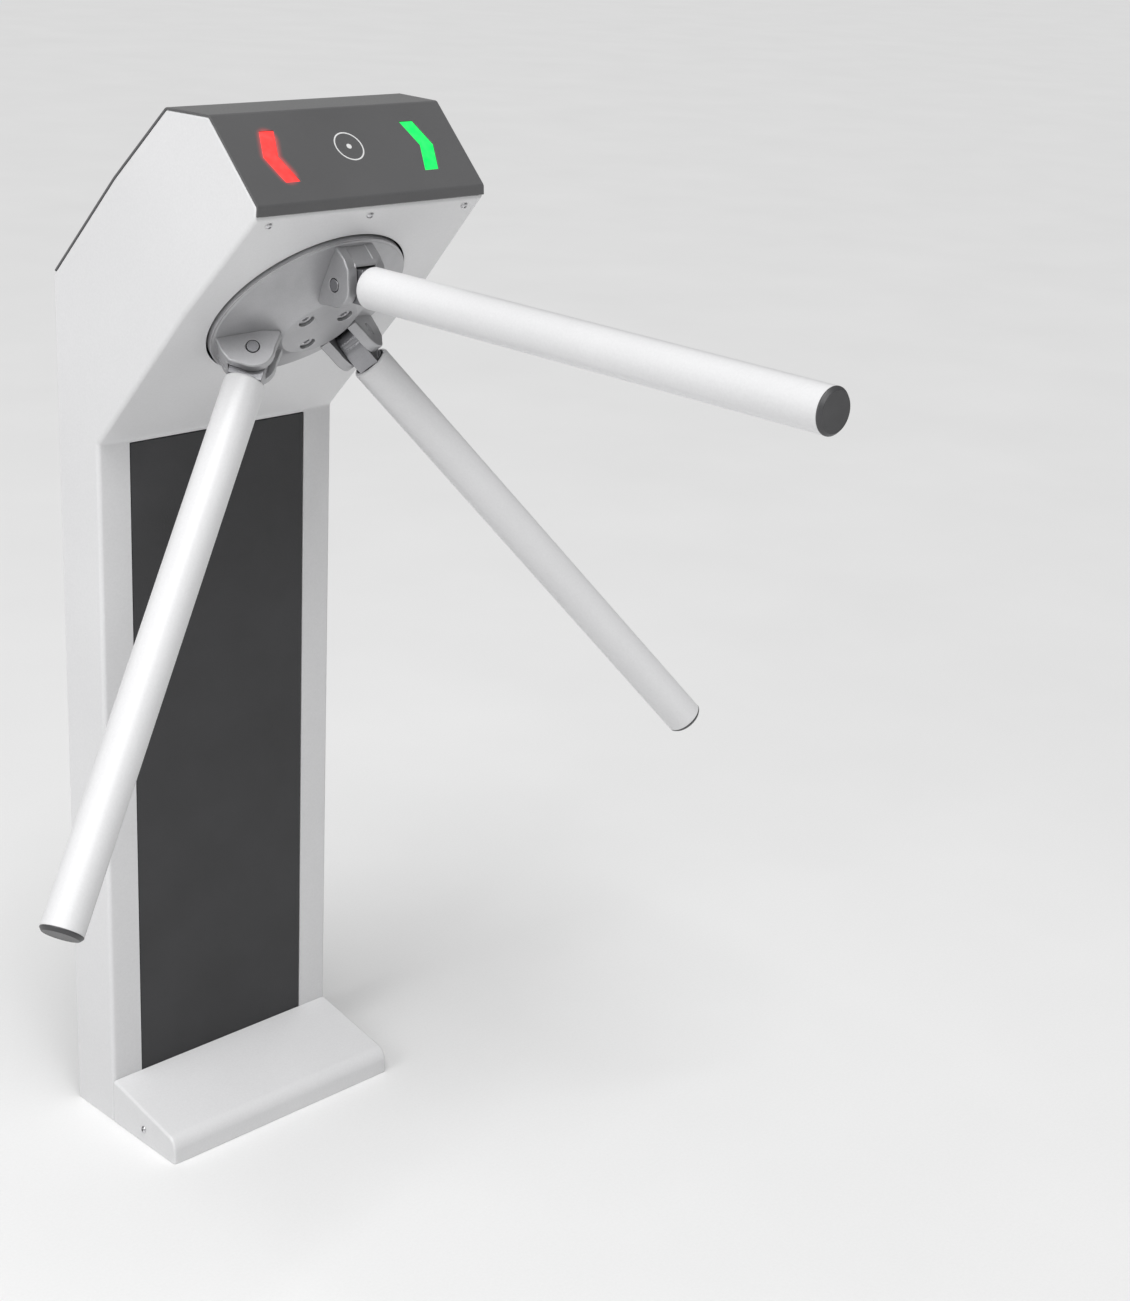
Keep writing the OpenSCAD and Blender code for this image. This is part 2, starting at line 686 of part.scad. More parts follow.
module main_gear() color("#b9a56a") at_hub() difference() {
    union() {
        translate([0, 0, gear_top - gear_t]) linear_extrude(gear_t) polygon(gear_points(gear_m, gear_z, -90));
        bar(22, lock_hub_top, gear_hub_top);
    }
    bar(shaft_d / 2 + fit, lock_hub_top - 1, gear_hub_top + 1);
    for (a = [0:60:300]) rotate([0, 0, a + 30]) translate([36, 0, 0]) bar(8, gear_top - gear_t - 1, gear_top + 1);
}

module damper_pinion() color("#e8e4d8") at_hub() translate([0, damper_y, 0]) {
    translate([0, 0, gear_top - gear_t]) linear_extrude(gear_t)
        polygon(gear_points(gear_m, pinion_z, 90 + 180 / pinion_z));
    bar(4, gear_top - gear_t - 1.5, plate_back - 10);
}

damper_r = 20;
module damper_body() color("#2c2c2e") at_hub() difference() {
    union() {
        translate([0, damper_y, 0]) bar(damper_r, gear_top + 2, plate_back);
        translate([0, damper_y, 0]) bar(8, gear_top + 1, gear_top + 3);
    }
    translate([0, damper_y, 0]) bar(4 + fit, gear_top, plate_back - 9);
}

notch_clear = 2.3;
module lock_disc() color("#8d9296") at_hub() difference() {
    union() {
        bar(lock_r, lock_hub_top - lock_t, lock_hub_top);
        bar(22, cam_top, lock_hub_top - 1);
    }
    bar(shaft_d / 2 + fit, cam_top - 1, lock_hub_top + 1);
    for (a = [0:60:300]) rotate([0, 0, a]) translate([lock_r - notch_d, -nose_w / 2 - notch_clear, lock_hub_top - lock_t - 1])
        cube([notch_d + 5, nose_w + 2 * notch_clear, lock_t + 2]);
}

module index_cam() color("#c8c2b0") at_hub() difference() {
    bar(cam_r, cam_top - cam_t, cam_top);
    bar(shaft_d / 2 + fit, cam_top - cam_t - 1, cam_top + 1);
    for (a = [-90, 30, 150]) rotate([0, 0, a]) translate([cam_flat, -50, cam_top - cam_t - 1]) cube([50, 100, cam_t + 2]);
}

leaf_t = 1.5;
module index_spring() color("#c0c4c8") at_hub() {
    translate([0, 0, cam_top - cam_t + 0.5]) linear_extrude(cam_t - 1) polygon([
        [leaf_post[0] + 4 + leaf_t, leaf_post[1] - 4], [leaf_post[0] + 4 + leaf_t, -cam_flat - seam],
        [-26, -cam_flat - seam], [-26, -cam_flat - seam - leaf_t],
        [leaf_post[0] + 4, -cam_flat - seam - leaf_t], [leaf_post[0] + 4, leaf_post[1] - 4]
    ]);
}

// Lock pawl beside the disc: lever on its pivot, with a nose for the notches
nose_x = lock_r + nose_gap;
nose_y = pawl_y + (-pawl_y + (pawl_x - nose_x) * sin(pawl_swing)) / cos(pawl_swing);
module pawl() color("#a86a3c") difference() {
    union() {
        translate([pawl_x, pawl_y, pawl_top - lock_t]) cylinder(r = 10, h = lock_t);
        translate([pawl_x - pawl_w / 2, pawl_y, pawl_top - lock_t]) cube([pawl_w, lever_y - pawl_y + 8, lock_t]);
        translate([nose_x, nose_y - nose_w / 2, pawl_top - lock_t]) cube([pawl_x - nose_x, nose_w, lock_t]);
    }
    translate([pawl_x, pawl_y, 0]) bar(pawl_pivot_d / 2 + fit, pawl_top - lock_t - 1, pawl_top + 1);
}
module pawl_left() at_hub() mirror([1, 0, 0]) pawl();
module pawl_right() at_hub() pawl();

// Torsion springs round the pawl pivots, as closed coils
module pawl_springs() color("#c0c4c8") at_hub() for (s = [-1, 1]) translate([s * pawl_x, pawl_y, pawl_top + seam])
    rotate_extrude() polygon(concat(
        [for (k = [0:4]) each [[pawl_pivot_d / 2 + 2.6, k * 2.4 + 0.2], [pawl_pivot_d / 2 + 3.4, k * 2.4 + 1.2]]],
        [[pawl_pivot_d / 2 + 2.6, 12], [pawl_pivot_d / 2 + fit, 12], [pawl_pivot_d / 2 + fit, 0.2]]
    ));

plunger_r = 5;
plunger_x = pawl_x + pawl_w / 2 + lever_gap;
solenoid_x = plunger_x + plunger_travel + 0.5;
solenoid_l = 36;
solenoid_s = 30;
pawl_mid = pawl_top - lock_t / 2;
module solenoid() color("#30323a") difference() {
    union() {
        translate([solenoid_x, lever_y - solenoid_s / 2, pawl_mid - solenoid_s / 2])
            cube([solenoid_l, solenoid_s, solenoid_s]);
        translate([solenoid_x + 2, lever_y + solenoid_s / 2 - 3, pawl_mid])
            cube([solenoid_l - 10, 3, plate_back - pawl_mid]);
    }
    translate([solenoid_x - 1, lever_y, pawl_mid]) rotate([0, 90, 0]) cylinder(r = plunger_r + 0.3, h = solenoid_l - 3);
}
module solenoid_left() at_hub() mirror([1, 0, 0]) solenoid();
module solenoid_right() at_hub() solenoid();

module plunger() color("silver")
    translate([plunger_x, lever_y, pawl_mid]) rotate([0, 90, 0]) cylinder(r = plunger_r, h = solenoid_l + plunger_travel - 5);
module plunger_left() at_hub() mirror([1, 0, 0]) plunger();
module plunger_right() at_hub() plunger();

module encoder_disc() color("#1e1e20") at_hub() difference() {
    union() {
        bar(encoder_r, encoder_h - encoder_t, encoder_h);
        bar(20, nut_top, encoder_hub_top);
    }
    bar(shaft_d / 2 + fit, nut_top - 1, encoder_hub_top + 1);
    for (a = [0:15:345]) rotate([0, 0, a]) translate([encoder_r - 9, -1.5, encoder_h - encoder_t - 1])
        cube([6, 3, encoder_t + 2]);
}

sensor_front = encoder_h - encoder_t - 3;
module sensor_board() color("darkgreen") at_hub() difference() {
    union() {
        translate([-20, encoder_r - 5, sensor_front - 1.6]) cube([60, sensor_post[1] + 10 - encoder_r + 5, 1.6]);
        translate([-6, encoder_r - 9, sensor_front - 1]) cube([12, 16, 11]);
    }
    translate([-10, encoder_r - 12, encoder_h - encoder_t - 1]) cube([20, 15, encoder_t + 2]);
}

// ---------------------------------------------------------------- column equipment

equip_y = -col_y + sheet + inlay_flange + 0.5;
equip_t = 1.5;
board_y = equip_y + equip_t + 9;
board_x = 75;
board_z0 = 430;
board_h = 200;
psu_x = -30;
psu_w = 98;
psu_d = 38;
psu_wall = 1.5;
psu_z = 40;
psu_h = 160;

module equipment_plate() color("#b4b8bc") translate([-col_w / 2 + sheet, equip_y, base_t])
    cube([col_w - 2 * sheet, equip_t, board_z0 + board_h + 40 - base_t]);

module power_supply() color("#9aa0a4") translate([psu_x, equip_y + equip_t, psu_z]) difference() {
    cube([psu_w, psu_d, psu_h]);
    translate([psu_wall, psu_wall, psu_wall]) cube([psu_w - 2 * psu_wall, psu_d - 2 * psu_wall, psu_h - 2 * psu_wall]);
    for (z = [20:12:psu_h - 20]) translate([10, psu_d - 3, z]) cube([psu_w - 20, 5, 5]);
}

module board_standoffs() color("#b9a56a") for (x = [-1, 1], z = [10, board_h - 10])
    translate([x * (board_x - 8), equip_y + equip_t, board_z0 + z]) rotate([-90, 0, 0])
        cylinder(d = 7, h = board_y - equip_y - equip_t);

module control_board() color("darkgreen") translate([-board_x, board_y, board_z0]) {
    cube([2 * board_x, 1.6, board_h]);
    for (z = [0, board_h - 14]) translate([10, 1, z]) cube([2 * board_x - 20, 12, 14]);
    for (k = [0:3]) translate([22 + k * 28, 1, 40]) cube([19, 16, 16]);
    translate([45, 1, 95]) cube([32, 4, 32]);
    for (x = [20, 105]) translate([x, 1.6, 120]) rotate([-90, 0, 0]) cylinder(d = 16, h = 22);
}

wire_d = 7;
wire_y = board_y + 7;
solenoid_side = [solenoid_x + solenoid_l / 2, lever_y - solenoid_s / 2, pawl_mid];
module wiring() color("#222224") {
    cable([[20, wire_y, psu_z + psu_h], [20, wire_y, board_z0]], wire_d);
    for (s = [-1, 1]) cable([
        [s * 40, wire_y, board_z0 + board_h], [s * 40, wire_y, board_z0 + board_h + 15],
        [s * solenoid_side[0], 0, board_z0 + board_h + 90],
        [s * solenoid_side[0], 0, col_front_h + 60],
        from_hub([s * solenoid_side[0], -60, pawl_mid]), from_hub([s * solenoid_side[0], solenoid_side[1], pawl_mid])
    ], wire_d);
    cable([
        [10, wire_y, board_z0 + board_h], [10, wire_y, board_z0 + board_h + 15], [32, 8, col_front_h + 20],
        from_hub([32, -118, sensor_front - 9]), from_hub([32, sensor_post[1], sensor_front - 9]),
        from_hub([32, sensor_post[1], sensor_front - 1.6])
    ], 5);
}

main_shell();
head_cover();
front_inlay();
back_panel();
base_plate();
foot_cover();
equipment_plate();
cover_screws();
foot_screws();
back_screws();
cable_grommet();
red_lens();
green_lens();
indicator_board();
rotor_disc();
rotor_screws();
hub_shaft();
shaft_nut();
bracket_a();
bracket_b();
bracket_c();
pin_a();
pin_b();
pin_c();
tongue_a();
tongue_b();
tongue_c();
tube_a();
tube_b();
tube_c();
cap_a();
cap_b();
cap_c();
mechanism_plate();
plate_standoffs();
plate_bolts();
mechanism_posts();
bearing_housing();
housing_screws();
front_bearing();
rear_bearing();
main_gear();
damper_pinion();
damper_body();
lock_disc();
index_cam();
index_spring();
pawl_left();
pawl_right();
pawl_springs();
solenoid_left();
solenoid_right();
plunger_left();
plunger_right();
encoder_disc();
sensor_board();
control_board();
board_standoffs();
power_supply();
wiring();
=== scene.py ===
import json
from math import atan, cos, degrees, pi, radians, sin, sqrt, tan

import bmesh
import bpy
from bpy.props import FloatProperty, FloatVectorProperty, IntProperty, PointerProperty
from mathutils import Matrix, Vector


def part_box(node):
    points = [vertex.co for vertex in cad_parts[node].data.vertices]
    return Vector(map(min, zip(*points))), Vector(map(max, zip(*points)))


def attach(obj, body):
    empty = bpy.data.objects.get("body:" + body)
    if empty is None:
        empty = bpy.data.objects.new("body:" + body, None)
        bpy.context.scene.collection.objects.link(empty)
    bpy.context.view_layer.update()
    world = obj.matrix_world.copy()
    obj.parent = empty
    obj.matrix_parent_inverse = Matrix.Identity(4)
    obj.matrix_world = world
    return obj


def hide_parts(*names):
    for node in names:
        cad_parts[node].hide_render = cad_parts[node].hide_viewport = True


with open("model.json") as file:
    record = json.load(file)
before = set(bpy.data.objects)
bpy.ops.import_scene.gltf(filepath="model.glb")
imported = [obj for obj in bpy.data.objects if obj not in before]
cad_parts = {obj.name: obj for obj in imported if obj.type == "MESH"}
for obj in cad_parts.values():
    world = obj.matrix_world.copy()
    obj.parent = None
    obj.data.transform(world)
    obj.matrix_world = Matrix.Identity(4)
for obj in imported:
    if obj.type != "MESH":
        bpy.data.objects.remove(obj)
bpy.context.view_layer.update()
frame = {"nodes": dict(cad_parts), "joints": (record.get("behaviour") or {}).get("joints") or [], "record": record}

bl_info = {
    "name": "Visitor Counter Turnstile",
    "version": (1, 0, 0),
    "blender": (4, 5, 0),
    "location": "View3D > Sidebar > Turnstile",
    "description": "Shells, rotor, arms and finishes of a slim tripod turnstile, built round its frame",
    "category": "Object",
}

JOINTS = {joint["name"]: joint for joint in frame["joints"]}
ARMS = ("a", "b", "c")
THIRD = 2 * pi / 3
MM = 0.001
FINISH = {}


# ---------------------------------------------------------------- places taken from the frame

def joint_point(name):
    """Where a joint's axis passes, in metres."""
    return Vector(JOINTS[name]["pos_m"])


def hub_place():
    """Frame of the hub: x across the column, y up the hub face, z out of it along the axis."""
    out = Vector(JOINTS["hub_turn"]["axis"]).normalized()
    across = Vector((1, 0, 0))
    turn = Matrix((across, out.cross(across), out)).transposed().to_4x4()
    return Matrix.Translation(joint_point("hub_turn")) @ turn


HUB = hub_place()
PIN = HUB.inverted() @ joint_point("arm_a_fold")
ACROSS_PIN = Matrix.Translation(PIN) @ Matrix.Rotation(pi / 2, 4, "Y")
COVER_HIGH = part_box("head_cover")[1]
PANEL_LOW, PANEL_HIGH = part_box("back_panel")
FOOT_LOW, FOOT_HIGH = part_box("foot_cover")
INLAY_LOW, INLAY_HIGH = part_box("front_inlay")
HALF = COVER_HIGH.x
BACK_FACE = PANEL_HIGH.y
FRONT_FACE = -PANEL_HIGH.y

# Details of single pieces, in metres: the housing's sheets, and how far a cutter runs past what it opens
OPEN = 0.005
BASE_TOP = 0.010
SHADOW_GAP = 0.0012
RETURN_WIDTH = 0.016
RETURN_GAP = (0.002, 0.017)
FOLD_INSET = 0.016
LENS_FOLD = (0.115, 0.1385)
INLAY_TOP = INLAY_HIGH.z - 0.002
INLAY_FOOT = FOOT_HIGH.z - 0.006
INLAY_SUNK = 0.0003

# Screws of the housing: where they sit, and the radii of their holes
COVER_SCREW_X = (-0.111, 0.0, 0.111)
COVER_SCREW_Y = 0.128
FOOT_SCREW_RISE = 0.006
BACK_SCREW_ENDS = (0.060, 0.045)
PANEL_DROP = 0.0031
PANEL_SEAM = 0.0003
SHELL_HOLE = 0.00265
COVER_HOLE = 0.0021
SCREW_HOLE = 0.0022

# Arrow lenses: their place on the display, half their height, their width, their bend and their depths
LENS_X = 0.083
LENS_DOWN = 0.0465
LENS_HALF = 0.0265
LENS_WIDTH = 0.0155
LENS_BEND = 0.0095
LENS_FACE = -0.0006
LENS_BACK = -0.006
LENS_FLANGE = 0.004
LENS_FLANGE_DEPTHS = (-0.0035, -0.0021)
WINDOW_GAP = 0.0002

# Painted glow that the dark cover itself gives off round the red arrow, and the printed mark between the arrows
PAINTED_GLOW_WIDTH = 0.0055
PAINTED_GLOW_STRENGTH = 0.4
PAINTED_GLOW_END = 0.002
MARK_DOWN = 0.042
MARK_RADIUS = 0.015
MARK_LINE = 0.0013
MARK_DEPTHS = (-0.0002, 0.0001)

# Middle of each circuit board's thickness, across the board
CONTROL_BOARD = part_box("control_board")[0].y + 0.0008
INDICATOR_BOARD = -0.0068
SENSOR_BOARD = -0.1253


# ---------------------------------------------------------------- sizes and colours

def length(label, default, note):
    """A length in metres that a user may change."""
    return FloatProperty(name=label, description=note, default=default, unit="LENGTH")


class HousingSizes(bpy.types.PropertyGroup):
    sheet: length("Sheet", 0.002, "Thickness of the folded sheet")
    seam: length("Seam", 0.0003, "Gap between neighbouring sheets")
    bend: length("Side bend", 0.0045, "Outer radius of the bends along the sides")
    cover_bend: length("Cover bend", 0.0045, "Outer radius of the cover's bends")
    rim_bend: length("Rim bend", 0.0018, "Outer radius where the sides fold under the cover")
    flange: length("Flange", 0.007, "Width of the fold that the cover rests on")
    back_rise: length("Back rise", 0.167, "Rise of the head's sloping back")
    top_flat: length("Top", 0.057, "Length of the flat top")
    display_drop: length("Display drop", 0.067, "Drop of the sloping display field")
    lip: length("Lip", 0.010, "Height of the lip under the display")
    crease: length("Crease", 0.130, "Distance from the lip to the crease in the sides")
    lean: FloatProperty(name="Side lean", description="Inward lean of the sides above the crease",
                        default=radians(5), subtype="ANGLE")
    rotor_hole: length("Rotor hole", 0.1005, "Radius of the hole round the rotor")
    inlay_width: length("Inlay width", 0.207, "Width of the dark inlay")
    inlay_gap: length("Inlay gap", 0.001, "Gap round the inlay")
    foot_slope_low: length("Foot front height", 0.027, "Height of the foot's slope at its front")
    foot_bend: length("Foot bend", 0.014, "Radius of the foot cover's front bend")
    foot_edge: length("Foot edge", 0.003, "Radius along the foot cover's ends")


class RotorSizes(bpy.types.PropertyGroup):
    radius: length("Radius", 0.0985, "Radius of the rotor")
    rim: length("Rim", 0.004, "Height of the rim over the hub face")
    cone_radius: length("Cone radius", 0.056, "Radius of the break between the cones")
    cone_height: length("Cone height", 0.0165, "Height of that break")
    boss_radius: length("Boss radius", 0.038, "Radius of the flat boss")
    boss_height: length("Boss height", 0.027, "Height of the boss over the hub face")
    wall: length("Wall", 0.008, "Wall of the casting along the axis")
    skirt: length("Skirt", 0.003, "Depth of the skirt behind the hub face")
    screw_circle: length("Screw circle", 0.0255, "Radius of the circle of screws")
    ear_radius: length("Ear radius", 0.020, "Radius of the ears round the pin")
    ear_thickness: length("Ear thickness", 0.0104, "Thickness of one ear")
    ear_edge: length("Ear edge", 0.0016, "Rounded edge of the ears' outer faces")


class ArmSizes(bpy.types.PropertyGroup):
    angle: FloatProperty(name="Angle", description="Angle between the hub axis and an arm",
                         default=radians(43), subtype="ANGLE")
    tube: length("Tube", 0.019, "Radius of an arm")
    wall: length("Wall", 0.0015, "Wall of the tube")
    start: length("Start", 0.026, "Distance from the pin to the tube")
    end: length("End", 0.549, "Distance from the pin to the end of the arm")
    cap: length("Cap", 0.004, "Length of the end cap outside the tube")
    cap_bevel: length("Cap bevel", 0.0025, "Bevel of the end cap")
    tongue: length("Tongue", 0.021, "Width of the tongue between the ears")
    tongue_depth: length("Tongue depth", 0.030, "Depth of the tongue at the tube")
    tongue_round: length("Tongue round", 0.011, "Radius of the tongue round its pin")
    tongue_back: length("Tongue back", 0.0165, "Height of the tongue's back over its pin")
    spigot: length("Spigot", 0.0138, "Radius of the tongue's turned spigot")
    lip: length("Tube lip", 0.0032, "Rounding of the tube's inner end")
    gap: length("Gap", 0.0004, "Running gap between tongue and ear")
    pin: length("Pin", 0.006, "Radius of the pivot pin")


class Colours(bpy.types.PropertyGroup):
    red: FloatVectorProperty(name="Red arrow", description="Light of the stop arrow", size=3,
                             subtype="COLOR", default=(1.0, 0.055, 0.05))
    green: FloatVectorProperty(name="Green arrow", description="Light of the go arrow", size=3,
                               subtype="COLOR", default=(0.0, 0.84, 0.12))
    segments: IntProperty(name="Round steps", description="Steps in a full turn of a round piece",
                          default=96, min=24, max=192)


# ---------------------------------------------------------------- modelling by hand, in code

def only(piece):
    """Object mode, with this piece alone selected."""
    if bpy.context.object and bpy.context.object.mode != "OBJECT":
        bpy.ops.object.mode_set(mode="OBJECT")
    bpy.ops.object.select_all(action="DESELECT")
    if piece is not None:
        piece.select_set(True)
        bpy.context.view_layer.objects.active = piece


def named(name):
    """Names the object that was just added, and its data."""
    piece = bpy.context.object
    piece.name = name
    piece.data.name = name
    return piece


def remove(piece):
    """Takes away a model or a cutter that has done its work."""
    bpy.data.objects.remove(piece, do_unlink=True)


def pick(piece, kind, test):
    """Edit mode, with the faces or edges that pass the test selected."""
    only(piece)
    bpy.ops.object.mode_set(mode="EDIT")
    bpy.ops.mesh.select_mode(type=kind)
    bpy.ops.mesh.select_all(action="DESELECT")
    mesh = bmesh.from_edit_mesh(piece.data)
    items = {"FACE": mesh.faces, "EDGE": mesh.edges}[kind]
    chosen = [item for item in items if test(item)]
    if not chosen:
        raise RuntimeError(f"{piece.name}: nothing to select")
    for item in chosen:
        item.select_set(True)
    bmesh.update_edit_mesh(piece.data)


def whole(piece):
    """Edit mode, with everything selected."""
    only(piece)
    bpy.ops.object.mode_set(mode="EDIT")
    bpy.ops.mesh.select_all(action="SELECT")


def modify(piece, kind, **settings):
    """Adds one modifier and applies it."""
    only(piece)
    modifier = piece.modifiers.new(kind, kind)
    for key, value in settings.items():
        setattr(modifier, key, value)
    bpy.ops.object.modifier_apply(modifier=modifier.name)


def place(piece, matrix):
    """Moves the piece to its place and keeps the place in the mesh."""
    only(piece)
    piece.matrix_world = matrix
    bpy.ops.object.transform_apply(location=True, rotation=True, scale=True)
    return piece


def walk(name, points):
    """One vertex is drawn out from point to point; all of it stays selected in edit mode."""
    only(None)
    bpy.ops.mesh.primitive_plane_add(size=0.01, location=(0, 0, 0))
    piece = named(name)
    points = [Vector(point) for point in points]
    bpy.ops.object.mode_set(mode="EDIT")
    bpy.ops.mesh.select_mode(type="VERT")
    bpy.ops.mesh.merge(type="CENTER")
    bpy.ops.transform.translate(value=points[0])
    for here, there in zip(points, points[1:]):
        bpy.ops.mesh.extrude_vertices_move(TRANSFORM_OT_translate={"value": there - here})
    bpy.ops.mesh.select_all(action="SELECT")
    return piece


def prism(name, points, depth):
    """A walked outline, filled and drawn out by the vector depth, with its faces outwards."""
    piece = walk(name, points)
    bpy.ops.mesh.edge_face_add()
    bpy.ops.mesh.extrude_region_move(TRANSFORM_OT_translate={"value": depth})
    bpy.ops.mesh.select_all(action="SELECT")
    bpy.ops.mesh.normals_make_consistent(inside=False)
    bpy.ops.object.mode_set(mode="OBJECT")
    return piece


def side_prism(name, outline, low, high):
    """A side outline of (y, z) points, drawn across from x = low to x = high."""
    return prism(name, [(low, y, z) for y, z in outline], (high - low, 0, 0))


def spun(name, profile, steps=None):
    """A profile of (radius, height) points, spun once round the z axis."""
    piece = walk(name, [(radius, 0, height) for radius, height in profile])
    steps = steps or bpy.context.scene.turnstile_colours.segments
    bpy.ops.mesh.spin(steps=steps, angle=2 * pi, center=(0, 0, 0), axis=(0, 0, 1))
    bpy.ops.mesh.select_all(action="SELECT")
    bpy.ops.mesh.remove_doubles(threshold=1e-6)
    bpy.ops.mesh.normals_make_consistent(inside=False)
    bpy.ops.object.mode_set(mode="OBJECT")
    return piece


def closed(profile):
    """The profile, back to its first point."""
    return list(profile) + [profile[0]]


def arc(centre, radius, start, end, steps):
    """Points of an arc, in degrees, both ends included."""
    angles = [radians(start + (end - start) * k / steps) for k in range(steps + 1)]
    return [(centre[0] + radius * cos(a), centre[1] + radius * sin(a)) for a in angles]


def block(name, low, high):
    """A box between two corners: a cube, resized in edit mode."""
    only(None)
    low, high = Vector(low), Vector(high)
    bpy.ops.mesh.primitive_cube_add(size=1, location=(0, 0, 0))
    piece = named(name)
    bpy.ops.object.mode_set(mode="EDIT")
    bpy.ops.transform.resize(value=high - low)
    bpy.ops.transform.translate(value=(low + high) / 2)
    bpy.ops.object.mode_set(mode="OBJECT")
    return piece


def rod(name, radius, low, high, sides):
    """A cylinder along z between two heights."""
    only(None)
    bpy.ops.mesh.primitive_cylinder_add(vertices=sides, radius=radius, depth=high - low,
                                        location=(0, 0, (low + high) / 2))
    piece = named(name)
    bpy.ops.object.transform_apply(location=True, rotation=True, scale=True)
    return piece


def combined(piece, operation, others):
    """The piece after one exact boolean with each of the others, which it uses up."""
    for other in others:
        modify(piece, "BOOLEAN", operation=operation, solver="EXACT", object=other)
        remove(other)
    return piece


def cut(piece, *cutters):
    """Takes the cutters out of the piece."""
    return combined(piece, "DIFFERENCE", cutters)


def joined(piece, *others):
    """Welds further bodies onto the piece."""
    return combined(piece, "UNION", others)


def drill(piece, radius, reach, spots, sides=32):
    """Bores a hole at each spot, as far as reach to both sides of it."""
    for spot in spots:
        cut(piece, place(rod("cutter", radius, -reach, reach, sides), spot))


def copied(piece, name, matrix):
    """A copy with its own mesh, moved by the matrix."""
    only(piece)
    bpy.ops.object.duplicate(linked=False)
    return place(named(name), matrix)


def is_fold(edge, angle):
    """An edge between two faces that meet at more than this many degrees."""
    return len(edge.link_faces) == 2 and edge.calc_face_angle() > radians(angle)


def is_side(face):
    """Whether a face belongs to one of the column's two sides."""
    return abs(face.normal.x) > 0.8


def between(edge, one, other):
    """Whether an edge parts a face that passes one test from a face that passes the other."""
    here, there = edge.link_faces
    return (one(here) and other(there)) or (one(there) and other(here))


def soften(piece, width, segments, angle):
    """Rounds every edge that is sharper than the angle, in degrees."""
    modify(piece, "BEVEL", limit_method="ANGLE", angle_limit=radians(angle), width=width,
           segments=segments, use_clamp_overlap=False, miter_outer="MITER_ARC")


def settle(piece, body, slot, stands_for=(), finish=None, angle=40):
    """Smooth shading that keeps flat faces flat, a body to ride on, and the slot's finish or its own."""
    whole(piece)
    bpy.ops.mesh.delete_loose()
    bpy.ops.object.mode_set(mode="OBJECT")
    bpy.ops.object.shade_smooth_by_angle(angle=radians(angle))
    modify(piece, "WEIGHTED_NORMAL", keep_sharp=True, weight=80)
    piece.data.materials.clear()
    piece.data.materials.append(FINISH[finish or slot])
    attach(piece, body)
    if stands_for:
        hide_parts(*stands_for)


def three_of(model, name, node, slot, where, body=None):
    """Copies a model to each third of the hub; it rides on the given body, or else on its own arm."""
    for k, letter in enumerate(ARMS):
        piece = copied(model, name + letter, HUB @ Matrix.Rotation(THIRD * k, 4, "Z") @ where)
        settle(piece, body or "arm_" + letter, slot, [node + letter])
    remove(model)


# ---------------------------------------------------------------- outline of the housing

# Edges of the side outline, in order; each starts at the corner of the same number
BACK, SLOPE, TOP, DISPLAY, LIP, FACE, FRONT, FLOOR = range(8)


def head_outline(sizes):
    """Side outline of the housing from the back's foot round to the front's, as (y, z) points."""
    top = COVER_HIGH.z
    ridge = BACK_FACE - sizes.back_rise
    brow = ridge - sizes.top_flat
    lip_y = brow - sizes.display_drop
    lip_z = top - sizes.display_drop - sizes.lip
    up = HUB.to_3x3() @ Vector((0, 1, 0))
    front_z = lip_z - (-BACK_FACE - lip_y) * up.z / -up.y
    return [(BACK_FACE, 0), (BACK_FACE, top - sizes.back_rise), (ridge, top), (brow, top),
            (lip_y, lip_z + sizes.lip), (lip_y, lip_z), (-BACK_FACE, front_z), (-BACK_FACE, 0)]


def normal_2d(here, there):
    """Inward normal of an outline's edge."""
    run = Vector(there) - Vector(here)
    return Vector((-run.y, run.x)).normalized()


def inset_outline(points, distances):
    """The outline with each edge moved inwards by its own distance."""
    result = []
    count = len(points)
    for k, point in enumerate(points):
        n0 = normal_2d(points[k - 1], point)
        n1 = normal_2d(point, points[(k + 1) % count])
        k0 = n0.dot(Vector(point)) + distances[k - 1]
        k1 = n1.dot(Vector(point)) + distances[k]
        c = n0.x * n1.y - n0.y * n1.x
        result.append(((k0 * n1.y - k1 * n0.y) / c, (n0.x * k1 - n1.x * k0) / c))
    return result


def lean_in(piece, sizes, half_width):
    """Cuts the leaning sides with two planes through the crease, which meets the hub face."""
    up = HUB.to_3x3() @ Vector((0, 1, 0))
    lip_y, lip_z = head_outline(sizes)[FACE]
    crease_y = lip_y - up.y * sizes.crease
    crease_z = lip_z - up.z * sizes.crease
    tip = sin(sizes.lean) * sqrt(0.5)
    for side in (-1, 1):
        whole(piece)
        bpy.ops.mesh.bisect(plane_co=(side * half_width, crease_y, crease_z),
                            plane_no=(side * cos(sizes.lean), -tip, tip),
                            use_fill=True, clear_outer=True)
        bpy.ops.object.mode_set(mode="OBJECT")
    return piece


def on_line(vertex, here, there, slack=2e-4):
    """True if the vertex lies on the side outline's edge between two points."""
    run = Vector(there) - Vector(here)
    offset = Vector((vertex.co.y, vertex.co.z)) - Vector(here)
    along = offset.dot(run) / run.length
    across = abs(run.x * offset.y - run.y * offset.x) / run.length
    return across < slack and -slack < along < run.length + slack


def face_on(outline, *edges):
    """Test for the faces that lie on these edges of the side outline."""
    pairs = [(outline[k], outline[(k + 1) % len(outline)]) for k in edges]
    return lambda face: any(all(on_line(v, a, b) for v in face.verts) for a, b in pairs)


def display_place():
    """Frame of the display field: y up its slope from the top edge, z out of it."""
    y, z = head_outline(bpy.context.scene.turnstile_housing)[DISPLAY]
    return Matrix.Translation((0, y, z)) @ Matrix.Rotation(pi / 4, 4, "X")


# ---------------------------------------------------------------- finishes

# Handling polishes a finish where an edge is rounded to within this radius, by this share at most
WORN_RADIUS_MM = 1.2
WORN_SHARE = 0.35
# How far from the middle of a circuit board its solder mask ends, in millimetres
BOARD_SURFACE_MM = (0.85, 0.95)


